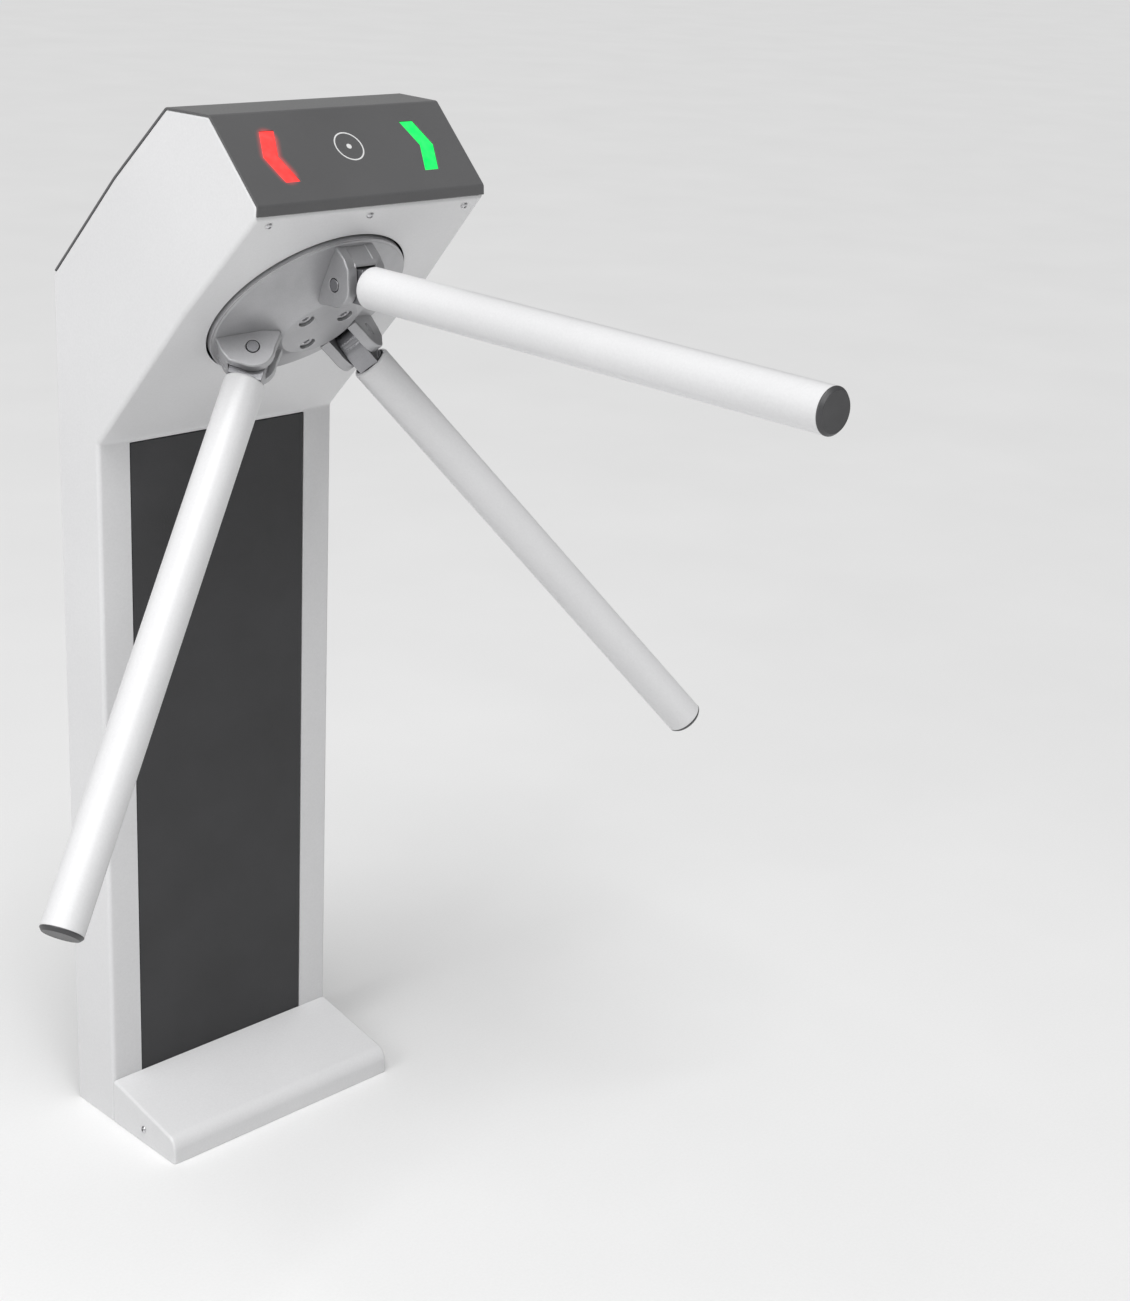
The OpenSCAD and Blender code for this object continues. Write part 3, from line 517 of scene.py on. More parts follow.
def srgb(text):
    """Linear colour of an sRGB hex value."""
    parts = [int(text[k:k + 2], 16) / 255 for k in (1, 3, 5)]
    return tuple(c / 12.92 if c <= 0.04045 else ((c + 0.055) / 1.055) ** 2.4 for c in parts) + (1.0,)


def add(tree, kind, inputs=None, **settings):
    """Adds a node with its settings; an input is a value, or another node's socket to link."""
    node = tree.nodes.new(kind)
    for key, value in settings.items():
        setattr(node, key, value)
    for key, value in (inputs or {}).items():
        if isinstance(value, bpy.types.NodeSocket):
            tree.links.new(value, node.inputs[key])
        else:
            node.inputs[key].default_value = value
    return node


def new_finish(name, **sockets):
    """A material with one Principled shader, and the object's own coordinates to work from."""
    material = bpy.data.materials.new(name)
    material.use_nodes = True
    tree = material.node_tree
    for key, value in sockets.items():
        tree.nodes["Principled BSDF"].inputs[key.replace("_", " ")].default_value = value
    add(tree, "ShaderNodeTexCoord")
    return material


def inside(material):
    """A finish's nodes, its shader's inputs and the object's own coordinates."""
    tree = material.node_tree
    return tree, tree.nodes["Principled BSDF"].inputs, tree.nodes["Texture Coordinate"].outputs["Object"]


def grain(tree, where, size_mm, detail=2.0, stretch=(1, 1, 1)):
    """Noise whose grains are size_mm across, drawn out along an axis where stretch is above 1."""
    scale = tuple(1 / (size_mm * MM * s) for s in stretch)
    mapped = add(tree, "ShaderNodeMapping", {"Vector": where, "Scale": scale})
    noise = {"Vector": mapped.outputs[0], "Scale": 1.0, "Detail": detail, "Roughness": 0.55}
    return add(tree, "ShaderNodeTexNoise", noise).outputs["Fac"]


def tint(tree, factor, dark, light, start=0.3, end=0.7):
    """A factor turned to a colour between two hex values."""
    ramp = add(tree, "ShaderNodeValToRGB", {"Fac": factor})
    first, last = ramp.color_ramp.elements
    first.position, first.color = start, srgb(dark)
    last.position, last.color = end, srgb(light)
    return ramp.outputs["Color"]


def worn_edges(tree, plain, bare):
    """The plain colour, with the bare one where handling has polished the edges."""
    soft = add(tree, "ShaderNodeBevel", {"Radius": WORN_RADIUS_MM * MM}, samples=4).outputs["Normal"]
    flat = add(tree, "ShaderNodeNewGeometry").outputs["Normal"]
    same = add(tree, "ShaderNodeVectorMath", {0: soft, 1: flat}, operation="DOT_PRODUCT").outputs["Value"]
    edge = add(tree, "ShaderNodeMapRange", {"Value": same, "From Min": 0.80, "From Max": 0.985,
                                            "To Min": WORN_SHARE, "To Max": 0.0}).outputs["Result"]
    return add(tree, "ShaderNodeMix", {"Factor": edge, "A": plain, "B": srgb(bare)},
               data_type="RGBA").outputs["Result"]


def surface(name, colours, grain_mm, height_mm, rough, metallic=0.0, stretch=(1, 1, 1), patch_mm=60,
            strength=0.6, bare=None, **sockets):
    """A finish with slow patches of colour, a grain that raises it and varies its gloss, and worn edges."""
    material = new_finish(name, Metallic=metallic, **sockets)
    tree, shader, where = inside(material)
    patch = grain(tree, where, patch_mm, 3.0)
    fine = grain(tree, where, grain_mm, 4.0, stretch)
    mixed = add(tree, "ShaderNodeMath", {0: patch, 1: fine}, operation="ADD").outputs[0]
    half = add(tree, "ShaderNodeMath", {0: mixed, 1: 0.5}, operation="MULTIPLY").outputs[0]
    colour = tint(tree, half, *colours)
    if bare:
        colour = worn_edges(tree, colour, bare)
    gloss = add(tree, "ShaderNodeMapRange", {"Value": fine, "From Min": 0.3, "From Max": 0.7,
                                             "To Min": rough[0], "To Max": rough[1]}).outputs["Result"]
    bump = add(tree, "ShaderNodeBump", {"Height": fine, "Strength": strength, "Distance": height_mm * MM})
    tree.links.new(colour, shader["Base Color"])
    tree.links.new(gloss, shader["Roughness"])
    tree.links.new(bump.outputs["Normal"], shader["Normal"])
    return material


def pressed(material, pattern, strength, height_mm):
    """The finish with a second, coarser relief over its own grain."""
    tree, shader, where = inside(material)
    under = shader["Normal"].links[0].from_socket
    bump = add(tree, "ShaderNodeBump", {"Height": pattern, "Strength": strength,
                                        "Distance": height_mm * MM, "Normal": under})
    tree.links.new(bump.outputs["Normal"], shader["Normal"])
    return material


def white_powder_coat():
    # Sprayed and baked polyester: the paint flows into a shallow orange peel that breaks up soft highlights.
    return surface("white_polyester_powder_coat", ("#D9D9DA", "#E2E2E3"), 2.2, 0.05, (0.28, 0.38),
                   patch_mm=180, strength=0.35, IOR=1.5)


def near_line(tree, where, here, there):
    """Distance of each point from a straight line between two points, in metres."""
    run = Vector(there) - Vector(here)
    kind = "ShaderNodeVectorMath"
    unit = run / run.length_squared
    offset = add(tree, kind, {0: where, 1: here}, operation="SUBTRACT").outputs["Vector"]
    along = add(tree, kind, {0: offset, 1: unit}, operation="DOT_PRODUCT").outputs["Value"]
    share = add(tree, "ShaderNodeClamp", {"Value": along}).outputs["Result"]
    reached = add(tree, kind, {0: run, "Scale": share}, operation="SCALE").outputs["Vector"]
    rest = add(tree, kind, {0: offset, 1: reached}, operation="SUBTRACT").outputs["Vector"]
    return add(tree, kind, {0: rest}, operation="LENGTH").outputs["Value"]


def anthracite_powder_coat():
    # Fine-texture powder coat: each grain catches a little light, so the dark sheet looks like slate.
    # A painted glow: round the red arrow's window the dark coat itself gives off red light, in place of the lamp's
    # spill onto the grains.
    material = surface("anthracite_fine_texture_powder_coat", ("#4A4A4B", "#585859"), 1.1, 0.10, (0.42, 0.6),
                       patch_mm=150, bare="#757577", IOR=1.5, Sheen_Weight=0.35, Sheen_Roughness=0.45)
    tree, shader, where = inside(material)
    to_display = display_place().inverted()
    on_display = add(tree, "ShaderNodeMapping", {"Vector": where, "Location": to_display.translation,
                                                 "Rotation": to_display.to_euler()}).outputs["Vector"]
    tip = (-LENS_X - LENS_BEND / 2, -LENS_DOWN, 0)
    edge = LENS_WIDTH / 2
    lines = [near_line(tree, on_display, tip, (-LENS_X + PAINTED_GLOW_END, -LENS_DOWN + side * (LENS_HALF - edge), 0))
             for side in (-1, 1)]
    near = add(tree, "ShaderNodeMath", {0: lines[0], 1: lines[1]}, operation="MINIMUM").outputs[0]
    glow = add(tree, "ShaderNodeMapRange", {"Value": near, "From Min": edge, "From Max": edge + PAINTED_GLOW_WIDTH,
                                            "To Min": 1.0, "To Max": 0.0}).outputs["Result"]
    faded = add(tree, "ShaderNodeMath", {0: glow, 1: 2.0}, operation="POWER").outputs[0]
    scaled = add(tree, "ShaderNodeMath", {0: faded, 1: PAINTED_GLOW_STRENGTH}, operation="MULTIPLY").outputs[0]
    # The dark coat itself gives off this painted red glow; it is no lamp.
    tree.links.new(scaled, shader["Emission Strength"])
    shader["Emission Color"].default_value = srgb("#FF1C1C")
    return material


def dark_inlay():
    # Vinyl-faced sheet with a pressed leather grain: small closed cells with darker valleys.
    material = surface("leather_grain_vinyl_sheet", ("#313132", "#3E3E40"), 1.3, 0.16, (0.46, 0.68),
                       patch_mm=90, IOR=1.48)
    tree, shader, where = inside(material)
    creases = add(tree, "ShaderNodeTexVoronoi", {"Vector": where, "Scale": 1 / (3.0 * MM)},
                  feature="DISTANCE_TO_EDGE").outputs["Distance"]
    valley = add(tree, "ShaderNodeMapRange", {"Value": creases, "From Max": 0.18}).outputs["Result"]
    return pressed(material, valley, 0.4, 0.12)


def cast_aluminium():
    # Die-cast aluminium under a thin silver paint: grey, with a sandy sparkle and lighter rubbed edges.
    material = surface("silver_painted_cast_aluminium", ("#A2A2A4", "#BCBCBE"), 0.9, 0.07, (0.36, 0.52),
                       metallic=0.7, patch_mm=40, bare="#FAFAFB")
    tree, shader, where = inside(material)
    sand = add(tree, "ShaderNodeTexVoronoi", {"Vector": where, "Scale": 1 / (2.4 * MM)}).outputs["Distance"]
    pits = add(tree, "ShaderNodeMapRange", {"Value": sand, "From Min": 0.05, "From Max": 0.3})
    return pressed(material, pits.outputs["Result"], 0.18, 0.06)


def stainless():
    # Stainless steel dulled with a brush: fine lines across the piece stretch its highlights.
    return surface("satin_brushed_stainless", ("#87878A", "#A3A3A6"), 0.5, 0.04, (0.26, 0.42), metallic=1.0,
                   stretch=(24, 1, 1), patch_mm=30, bare="#EEEEEE")


def turned():
    # Turned stainless screws and pins: smoother and brighter than the brushed steel.
    return surface("turned_stainless", ("#C0C0C2", "#D8D8DA"), 0.4, 0.02, (0.30, 0.42), metallic=1.0,
                   stretch=(1, 1, 8), patch_mm=12, bare="#F4F4F4")


def blackened():
    # Bolts and nuts with a black-oxide skin, worn grey where a key turns them.
    return surface("black_oxide_steel", ("#3A3A3C", "#56565A"), 0.5, 0.03, (0.34, 0.5), metallic=0.9,
                   patch_mm=10, bare="#A8A8AA")


def zinc_steel():
    # Zinc-plated steel sheet: pale grey crystals of spangle, a few millimetres across.
    material = surface("zinc_plated_steel", ("#8F9398", "#B2B6BA"), 1.0, 0.02, (0.3, 0.5), metallic=1.0,
                       patch_mm=25)
    tree, shader, where = inside(material)
    spangle = add(tree, "ShaderNodeTexVoronoi", {"Vector": where, "Scale": 1 / (9 * MM)}).outputs["Color"]
    tone = add(tree, "ShaderNodeSeparateColor", {"Color": spangle}).outputs["Red"]
    tree.links.new(tint(tree, tone, "#989CA1", "#B2B6BB", 0.0, 1.0), shader["Base Color"])
    return material


def machined():
    # Turned and ground steel: rings left by the tool run round the hub axis.
    material = surface("turned_carbon_steel", ("#7E8287", "#A3A7AC"), 0.6, 0.02, (0.25, 0.4), metallic=1.0,
                       patch_mm=30, bare="#D8DADC")
    tree, shader, where = inside(material)
    to_hub = HUB.inverted()
    on_hub = add(tree, "ShaderNodeMapping", {"Vector": where, "Rotation": to_hub.to_euler(),
                                             "Location": to_hub.translation}).outputs[0]
    rings = add(tree, "ShaderNodeTexWave", {"Vector": on_hub, "Scale": 1 / (6.3 * MM) / 5},
                wave_type="RINGS", rings_direction="Z").outputs["Fac"]
    return pressed(material, rings, 0.15, 0.02)


def cast_iron_grey():
    # Sand-cast iron with machined seats: dark, coarse and matt.
    return surface("sand_cast_iron", ("#3C3D3F", "#55575A"), 1.6, 0.18, (0.55, 0.75), metallic=0.6,
                   patch_mm=25, bare="#8C8E91")


def bearing_steel():
    # Ground and polished races: almost mirror-bright, with a faint blue cast.
    return surface("ground_bearing_steel", ("#AEB2B8", "#C6CACF"), 0.3, 0.01, (0.12, 0.22), metallic=1.0,
                   stretch=(12, 12, 1), patch_mm=15)


def brass():
    # Machined brass, slightly tarnished between the bright tool marks.
    return surface("machined_brass", ("#A48746", "#C8AC68"), 0.5, 0.02, (0.24, 0.42), metallic=1.0,
                   patch_mm=14, bare="#E2CC8E")


def bronze_pawl():
    # Sintered bronze for the pawls: warm, porous and oily.
    return surface("sintered_bronze", ("#7A4E2C", "#9A683E"), 0.7, 0.05, (0.32, 0.5), metallic=1.0,
                   patch_mm=12, bare="#C08A58")


def spring_steel():
    # Drawn spring wire and rolled leaf: bright with lengthwise draw lines.
    return surface("drawn_spring_steel", ("#8D9298", "#AEB3B8"), 0.4, 0.02, (0.22, 0.36), metallic=1.0,
                   stretch=(1, 1, 14), patch_mm=10)


def cap_plastic():
    # Moulded polyamide end caps: dark grey, spark-eroded texture, lighter on the handled bevel.
    return surface("moulded_polyamide", ("#3B3B3C", "#464648"), 0.8, 0.05, (0.36, 0.5), patch_mm=18,
                   bare="#6C6C6E", IOR=1.53)


def black_plastic():
    # Moulded ABS for covers and discs inside: near black, with a satin mould texture.
    return surface("moulded_black_abs", ("#1B1B1C", "#262628"), 0.7, 0.04, (0.34, 0.48), patch_mm=20,
                   bare="#4A4A4C", IOR=1.54)


def acetal(name, dark, light):
    # Cut acetal: waxy and slightly translucent-looking, with faint tool lines.
    return surface(name, (dark, light), 0.6, 0.03, (0.3, 0.42), patch_mm=16, IOR=1.48, Subsurface_Weight=0.08)


def rubber_black():
    # Moulded black rubber and cable sheath: matt, with a dusty bloom.
    return surface("moulded_rubber", ("#161616", "#242424"), 1.0, 0.06, (0.62, 0.8), patch_mm=16, IOR=1.52)


def magnet_body():
    # Baked black enamel on the solenoid frames: glossy over slight brush waves.
    return surface("baked_black_enamel", ("#191B20", "#24262C"), 1.2, 0.04, (0.2, 0.34), patch_mm=18,
                   bare="#5C5E64", Coat_Weight=0.3, Coat_Roughness=0.15)


def circuit_board(name, to_board, middle):
    # Solder mask over copper: dark green, with lighter tracks on a 2.54 mm grid.
    # What stands off the board is epoxy and moulded plastic, in a grained black.
    material = surface(name, ("#0D3B22", "#14492B"), 0.8, 0.02, (0.26, 0.36), patch_mm=30, IOR=1.55)
    tree, shader, where = inside(material)
    on_board = add(tree, "ShaderNodeMapping", {"Vector": where, "Location": to_board.translation,
                                               "Rotation": to_board.to_euler()}).outputs["Vector"]
    tracks = add(tree, "ShaderNodeTexBrick", {
        "Vector": on_board, "Scale": 1.0, "Color1": srgb("#0E4026"), "Color2": srgb("#124A2D"),
        "Mortar": srgb("#2C7A4E"), "Brick Width": 12.7 * MM, "Row Height": 2.54 * MM,
        "Mortar Size": 0.22 * MM}).outputs["Color"]
    height = add(tree, "ShaderNodeSeparateXYZ", {"Vector": on_board}).outputs["Z"]
    off = add(tree, "ShaderNodeMath", {0: height, 1: middle}, operation="SUBTRACT").outputs[0]
    away = add(tree, "ShaderNodeMath", {0: off}, operation="ABSOLUTE").outputs[0]
    low, high = (edge * MM for edge in BOARD_SURFACE_MM)
    stands = add(tree, "ShaderNodeMapRange", {"Value": away, "From Min": low, "From Max": high})
    plastic = tint(tree, grain(tree, where, 1.2), "#17181A", "#2C2D30")
    mixed = add(tree, "ShaderNodeMix", {"Factor": stands.outputs["Result"], "A": tracks, "B": plastic},
                data_type="RGBA").outputs["Result"]
    tree.links.new(mixed, shader["Base Color"])
    return material


def lit_lens(name, colour, edge):
    # An opal acrylic diffuser lit from behind: an even glow, slightly paler where the lamps sit.
    material = new_finish(name, Roughness=0.35, Emission_Strength=1.0, Base_Color=srgb(edge))
    tree, shader, where = inside(material)
    cloud = add(tree, "ShaderNodeMapRange", {"Value": grain(tree, where, 9, 2.0), "From Min": 0.3,
                                             "From Max": 0.7}).outputs["Result"]
    paler = tuple(min(1.0, c + 0.04) for c in colour) + (1.0,)
    mixed = add(tree, "ShaderNodeMix", {"Factor": cloud, "A": tuple(colour) + (1.0,), "B": paler},
                data_type="RGBA").outputs["Result"]
    tree.links.new(mixed, shader["Emission Color"])
    return material


def white_print():
    # Screen-printed white ink: matt, with a faint mesh in its edges.
    return surface("white_screen_print", ("#D8D8D8", "#E6E6E6"), 0.5, 0.02, (0.5, 0.6), patch_mm=8, IOR=1.5)


def paper_floor():
    # Smooth pale paper under the object: matt and even.
    return surface("pale_paper_floor", ("#E6E6E6", "#ECECEC"), 3.0, 0.02, (0.75, 0.85), patch_mm=400,
                   strength=0.1)


# Finishes that are known by their own names, which are those of slots or of a use
PLAIN_FINISHES = (
    white_powder_coat, anthracite_powder_coat, dark_inlay, cast_aluminium, stainless, turned, blackened,
    zinc_steel, machined, cast_iron_grey, bearing_steel, brass, bronze_pawl, spring_steel, cap_plastic,
    black_plastic, rubber_black, magnet_body, white_print, paper_floor)


class TURNSTILE_OT_finishes(bpy.types.Operator):
    """Mixes every finish before the pieces are made"""
    bl_idname = "turnstile.finishes"
    bl_label = "Finishes"

    def execute(self, context):
        colours = context.scene.turnstile_colours
        upright = Matrix.Rotation(pi / 2, 4, "X")
        FINISH.update({make.__name__: make() for make in PLAIN_FINISHES})
        FINISH.update({
            "pinion_plastic": acetal("white_acetal", "#DDD8CB", "#E9E5DA"),
            "cam_plastic": acetal("natural_acetal", "#C3B899", "#D3C9AC"),
            "circuit_board": circuit_board("sensor_solder_mask", HUB.inverted(), SENSOR_BOARD),
            "control": circuit_board("control_solder_mask", upright, CONTROL_BOARD),
            "indicator": circuit_board("indicator_solder_mask", display_place().inverted(), INDICATOR_BOARD),
            "red_lens": lit_lens("red_opal_lens", colours.red, "#C01818"),
            "green_lens": lit_lens("green_opal_lens", colours.green, "#10A040"),
        })
        return {"FINISHED"}


# Frame pieces whose finish is not the one of their slot
FRAME_FINISH = {
    "control_board": "control", "indicator_board": "indicator", "lock_disc": "machined",
    "hub_shaft": "turned", "plunger_left": "turned", "plunger_right": "turned",
    "mechanism_posts": "turned", "plate_standoffs": "turned",
    "plate_bolts": "blackened", "housing_screws": "blackened", "shaft_nut": "blackened",
}


class TURNSTILE_OT_frame_finishes(bpy.types.Operator):
    """Gives every piece of the frame the finish of its slot, or one of its own"""
    bl_idname = "turnstile.frame_finishes"
    bl_label = "Frame Finishes"

    def execute(self, context):
        slots = {part["node"]: part["material_slot"] for part in frame["record"]["subparts"]}
        for name, node in frame["nodes"].items():
            node.data.materials.clear()
            node.data.materials.append(FINISH[FRAME_FINISH.get(name, slots[name])])
        return {"FINISHED"}


# ---------------------------------------------------------------- housing

class TURNSTILE_OT_shell(bpy.types.Operator):
    """Folds the white shell: sides that lean in above a crease, hub face and column front"""
    bl_idname = "turnstile.shell"
    bl_label = "White Shell"

    def execute(self, context):
        s = context.scene.turnstile_housing
        window = s.inlay_width / 2 + s.inlay_gap
        shell = self.solid("shell", s, 0, s.bend, 0)
        cut(shell, self.solid("cutter", s, s.sheet, s.bend - s.sheet, -OPEN))
        cut(shell, self.roof(s, HALF - s.flange))
        drill(shell, s.rotor_hole, 0.02, [HUB], 128)
        cut(shell, block("cutter", (-window, FRONT_FACE - OPEN, INLAY_FOOT - s.inlay_gap),
                         (window, FRONT_FACE + OPEN, INLAY_TOP + s.inlay_gap)))
        cut(shell, block("cutter", (-HALF + s.sheet, FRONT_FACE - OPEN, -OPEN),
                         (HALF - s.sheet, FRONT_FACE + OPEN, BASE_TOP)))
        drill(shell, SHELL_HOLE, 0.01, cover_screw_places())
        self.add_returns(shell, s)
        soften(shell, 0.0003, 2, 70)
        settle(shell, "cabinet", "white_powder_coat", ["main_shell"])
        return {"FINISHED"}

    def solid(self, name, s, inset, bend, opening):
        """The shell's outside, or at an inset its inside, run out through the back and the floor."""
        under = s.sheet + s.seam + inset
        outline = inset_outline(head_outline(s), [opening, under, under, under, under, inset, inset, opening])
        half = HALF - inset
        piece = lean_in(side_prism(name, outline, -half, half), s, half)
        lip, face, front = (face_on(outline, edge) for edge in (LIP, FACE, FRONT))
        covered = face_on(outline, SLOPE, TOP, DISPLAY, LIP)
        bends = ((1.0, face_on(outline, FACE, FRONT), is_side), (0.4, face, front),
                 (s.rim_bend / s.bend, covered, is_side), (0.33, lip, face))
        for weight, one, other in bends:
            pick(piece, "EDGE", lambda e: is_fold(e, 2) and between(e, one, other))
            bpy.ops.transform.edge_bevelweight(value=weight)
        modify(piece, "BEVEL", width=bend, limit_method="WEIGHT", segments=5)
        return piece

    def roof(self, s, half):
        """What opens the shell under the cover, but for a narrow flange along each side."""
        clear, lip_stays = 0.001, 0.003
        outer = inset_outline(head_outline(s), [-OPEN] * 8)
        inner = inset_outline(head_outline(s), [-OPEN] + [2 * s.sheet + s.seam + clear] * 7)
        lip = inner[LIP][1] + lip_stays
        outline = outer[SLOPE:LIP] + [(outer[LIP][0], lip), (inner[LIP][0], lip)] + inner[DISPLAY:BACK:-1]
        return lean_in(side_prism("cutter", outline, -half, half), s, half)

    def add_returns(self, shell, s):
        """Return folds at the back, which the panel is screwed to."""
        below, above = RETURN_GAP
        for side in (-1, 1):
            inner, outer = sorted((side * (HALF - s.sheet - RETURN_WIDTH), side * (HALF - s.sheet / 2)))
            joined(shell, block("return", (inner, BACK_FACE - 2 * s.sheet, BASE_TOP + below),
                                (outer, BACK_FACE - s.sheet, PANEL_HIGH.z - above)))


class TURNSTILE_OT_cover(bpy.types.Operator):
    """Folds the dark cover over the head and cuts its two arrow windows"""
    bl_idname = "turnstile.cover"
    bl_label = "Dark Cover"

    def execute(self, context):
        s = context.scene.turnstile_housing
        outline = head_outline(s)
        cover = lean_in(side_prism("cover", outline, -HALF, HALF), s, HALF)
        shown = face_on(outline, SLOPE, TOP, DISPLAY, LIP)
        pick(cover, "FACE", lambda f: not shown(f))
        bpy.ops.mesh.delete(type="FACE")
        pick(cover, "EDGE", lambda e: is_fold(e, 15))
        bpy.ops.mesh.bevel(offset=s.cover_bend * tan(radians(22.5)), segments=6, affect="EDGES")
        modify(cover, "SOLIDIFY", thickness=s.sheet, offset=-1, use_even_offset=True)
        fold = block("fold", (-HALF + FOLD_INSET, LENS_FOLD[0], -2 * s.sheet),
                     (HALF - FOLD_INSET, LENS_FOLD[1], -s.sheet))
        joined(cover, place(fold, HUB))
        lip_y, lip_z = outline[FACE]
        cut(cover, block("cutter", (-HALF - OPEN, lip_y - OPEN, lip_z - OPEN),
                         (HALF + OPEN, lip_y + s.sheet + s.seam, lip_z + SHADOW_GAP)))
        for side in (-1, 1):
            cut(cover, chevron("cutter", side, -2 * s.sheet, s.sheet, WINDOW_GAP))
        drill(cover, COVER_HOLE, 0.01, cover_screw_places())
        soften(cover, 0.0005, 2, 60)
        settle(cover, "cabinet", "anthracite_powder_coat", ["head_cover"])
        return {"FINISHED"}


def chevron(name, side, low, high, grow=0.0):
    """An arrow head that points away from the middle, drawn between two depths of the display."""
    w, h, bend = LENS_WIDTH / 2 + grow, LENS_HALF + grow, LENS_BEND / 2
    points = [(-bend - w, h), (-bend + w, h), (bend + w, 0), (-bend + w, -h), (-bend - w, -h), (bend - w, 0)]
    piece = prism(name, [(side * (LENS_X + x), y - LENS_DOWN, low) for x, y in points], (0, 0, high - low))
    return place(piece, display_place())


class TURNSTILE_OT_arrows(bpy.types.Operator):
    """Moulds the red and the green arrow lens, each with a flange behind the cover"""
    bl_idname = "turnstile.arrows"
    bl_label = "Arrow Lenses"

    def execute(self, context):
        for side, name in ((-1, "red"), (1, "green")):
            lens = chevron(name + "_arrow", side, LENS_BACK, LENS_FACE)
            joined(lens, chevron("flange", side, *LENS_FLANGE_DEPTHS, LENS_FLANGE))
            soften(lens, 0.0004, 2, 40)
            settle(lens, "cabinet", name + "_lens", [name + "_lens"])
        return {"FINISHED"}


class TURNSTILE_OT_mark(bpy.types.Operator):
    """Prints a plain target of a ring and a dot in the middle of the display"""
    bl_idname = "turnstile.mark"
    bl_label = "Reader Mark"

    def execute(self, context):
        low, high = MARK_DEPTHS
        outer, inner, dot = MARK_RADIUS, MARK_RADIUS - MARK_LINE, MARK_LINE * 2
        middle = display_place() @ Matrix.Translation((0, -MARK_DOWN, 0))
        for piece in (spun("reader_ring", closed([(outer, low), (outer, high), (inner, high), (inner, low)])),
                      spun("reader_dot", [(0, high), (dot, high), (dot, low), (0, low)])):
            settle(place(piece, middle), "cabinet", "white_powder_coat", finish="white_print")
        return {"FINISHED"}


class TURNSTILE_OT_inlay(bpy.types.Operator):
    """Makes the dark front inlay with its rounded face and the flange behind the sheet"""
    bl_idname = "turnstile.inlay"
    bl_label = "Front Inlay"

    def execute(self, context):
        s = context.scene.turnstile_housing
        inlay = block("inlay", (-s.inlay_width / 2, FRONT_FACE + INLAY_SUNK, INLAY_FOOT),
                      (s.inlay_width / 2, INLAY_HIGH.y, INLAY_TOP))
        pick(inlay, "EDGE", lambda e: all(v.co.y < FRONT_FACE + 0.001 for v in e.verts))
        bpy.ops.mesh.bevel(offset=0.0008, segments=3, affect="EDGES")
        joined(inlay, block("flange", (INLAY_LOW.x, FRONT_FACE + s.sheet, INLAY_LOW.z), INLAY_HIGH))
        settle(inlay, "cabinet", "dark_inlay", ["front_inlay"])
        return {"FINISHED"}


class TURNSTILE_OT_back_panel(bpy.types.Operator):
    """Makes the back panel with rounded edges and holes for its screws"""
    bl_idname = "turnstile.back_panel"
    bl_label = "Back Panel"

    def execute(self, context):
        panel = block("rear_panel", PANEL_LOW, PANEL_HIGH)
        drill(panel, SCREW_HOLE, 0.01, back_screw_places())
        soften(panel, 0.0006, 2, 60)
        settle(panel, "cabinet", "white_powder_coat", ["back_panel"])
        return {"FINISHED"}


class TURNSTILE_OT_foot(bpy.types.Operator):
    """Folds the wedge-shaped foot cover with its round front bend and closed ends"""
    bl_idname = "turnstile.foot"
    bl_label = "Foot Cover"

    def execute(self, context):
        s = context.scene.turnstile_housing
        slope = atan((FOOT_HIGH.z - s.foot_slope_low) / (FOOT_HIGH.y - FOOT_LOW.y))
        nose = (FOOT_LOW.y, s.foot_slope_low)
        outline = [(FOOT_HIGH.y, 0), (FOOT_HIGH.y, FOOT_HIGH.z), nose, (FOOT_LOW.y, 0)]
        foot = side_prism("wedge_foot_cover", outline, FOOT_LOW.x, FOOT_HIGH.x)
        pick(foot, "FACE", face_on(outline, 0, 3))
        bpy.ops.mesh.delete(type="FACE")
        pick(foot, "EDGE", lambda e: all((v.co.yz - Vector(nose)).length < 1e-4 for v in e.verts))
        bpy.ops.mesh.bevel(offset=s.foot_bend * tan((pi / 2 - slope) / 2), segments=8, affect="EDGES")
        pick(foot, "EDGE", lambda e: is_fold(e, 60))
        bpy.ops.mesh.bevel(offset=s.foot_edge, segments=4, affect="EDGES")
        modify(foot, "SOLIDIFY", thickness=s.sheet, offset=-1, use_even_offset=True)
        drill(foot, SCREW_HOLE, 0.005, foot_screw_places())
        soften(foot, 0.0004, 2, 60)
        settle(foot, "cabinet", "white_powder_coat", ["foot_cover"])
        return {"FINISHED"}


# ---------------------------------------------------------------- screws

def back_screw_places():
    """Three screws up each side of the back panel, into the shell's return folds."""
    x = PANEL_HIGH.x + PANEL_SEAM - RETURN_WIDTH / 2
    rise = PANEL_HIGH.z + PANEL_DROP
    low, high = BACK_SCREW_ENDS
    return [Matrix.Translation((side * x, BACK_FACE, z)) @ Matrix.Rotation(-pi / 2, 4, "X")
            for side in (-1, 1) for z in (low, rise / 2, rise - high)]


def foot_screw_places():
    """One screw in each end of the foot cover."""
    y = (FOOT_LOW.y - BACK_FACE) / 2
    return [Matrix.Translation((side * FOOT_HIGH.x, y, BASE_TOP + FOOT_SCREW_RISE))
            @ Matrix.Rotation(side * pi / 2, 4, "Y") for side in (-1, 1)]


def cover_screw_places():
    """Three screws across the hub face, under the cover's lip."""
    return [HUB @ Matrix.Translation((x, COVER_SCREW_Y, 0)) for x in COVER_SCREW_X]


def button_screw(name, head, height, thread, reach):
    """A button-head screw with a hexagon socket; its head stands on z = 0."""
    crown = (head ** 2 + height ** 2) / (2 * height)
    dome = arc((0, height - crown), crown, 90, 90 - 2 * degrees(atan(height / head)), 6)
    profile = dome[:-1] + [(head, 0.0002), (head - 0.0003, 0), (thread, 0), (thread, -reach), (0, -reach)]
    screw = spun(name, profile, 48)
    cut(screw, rod("cutter", head * 0.42, height * 0.3, height * 2, 6))
    soften(screw, 0.00015, 2, 40)
    return screw


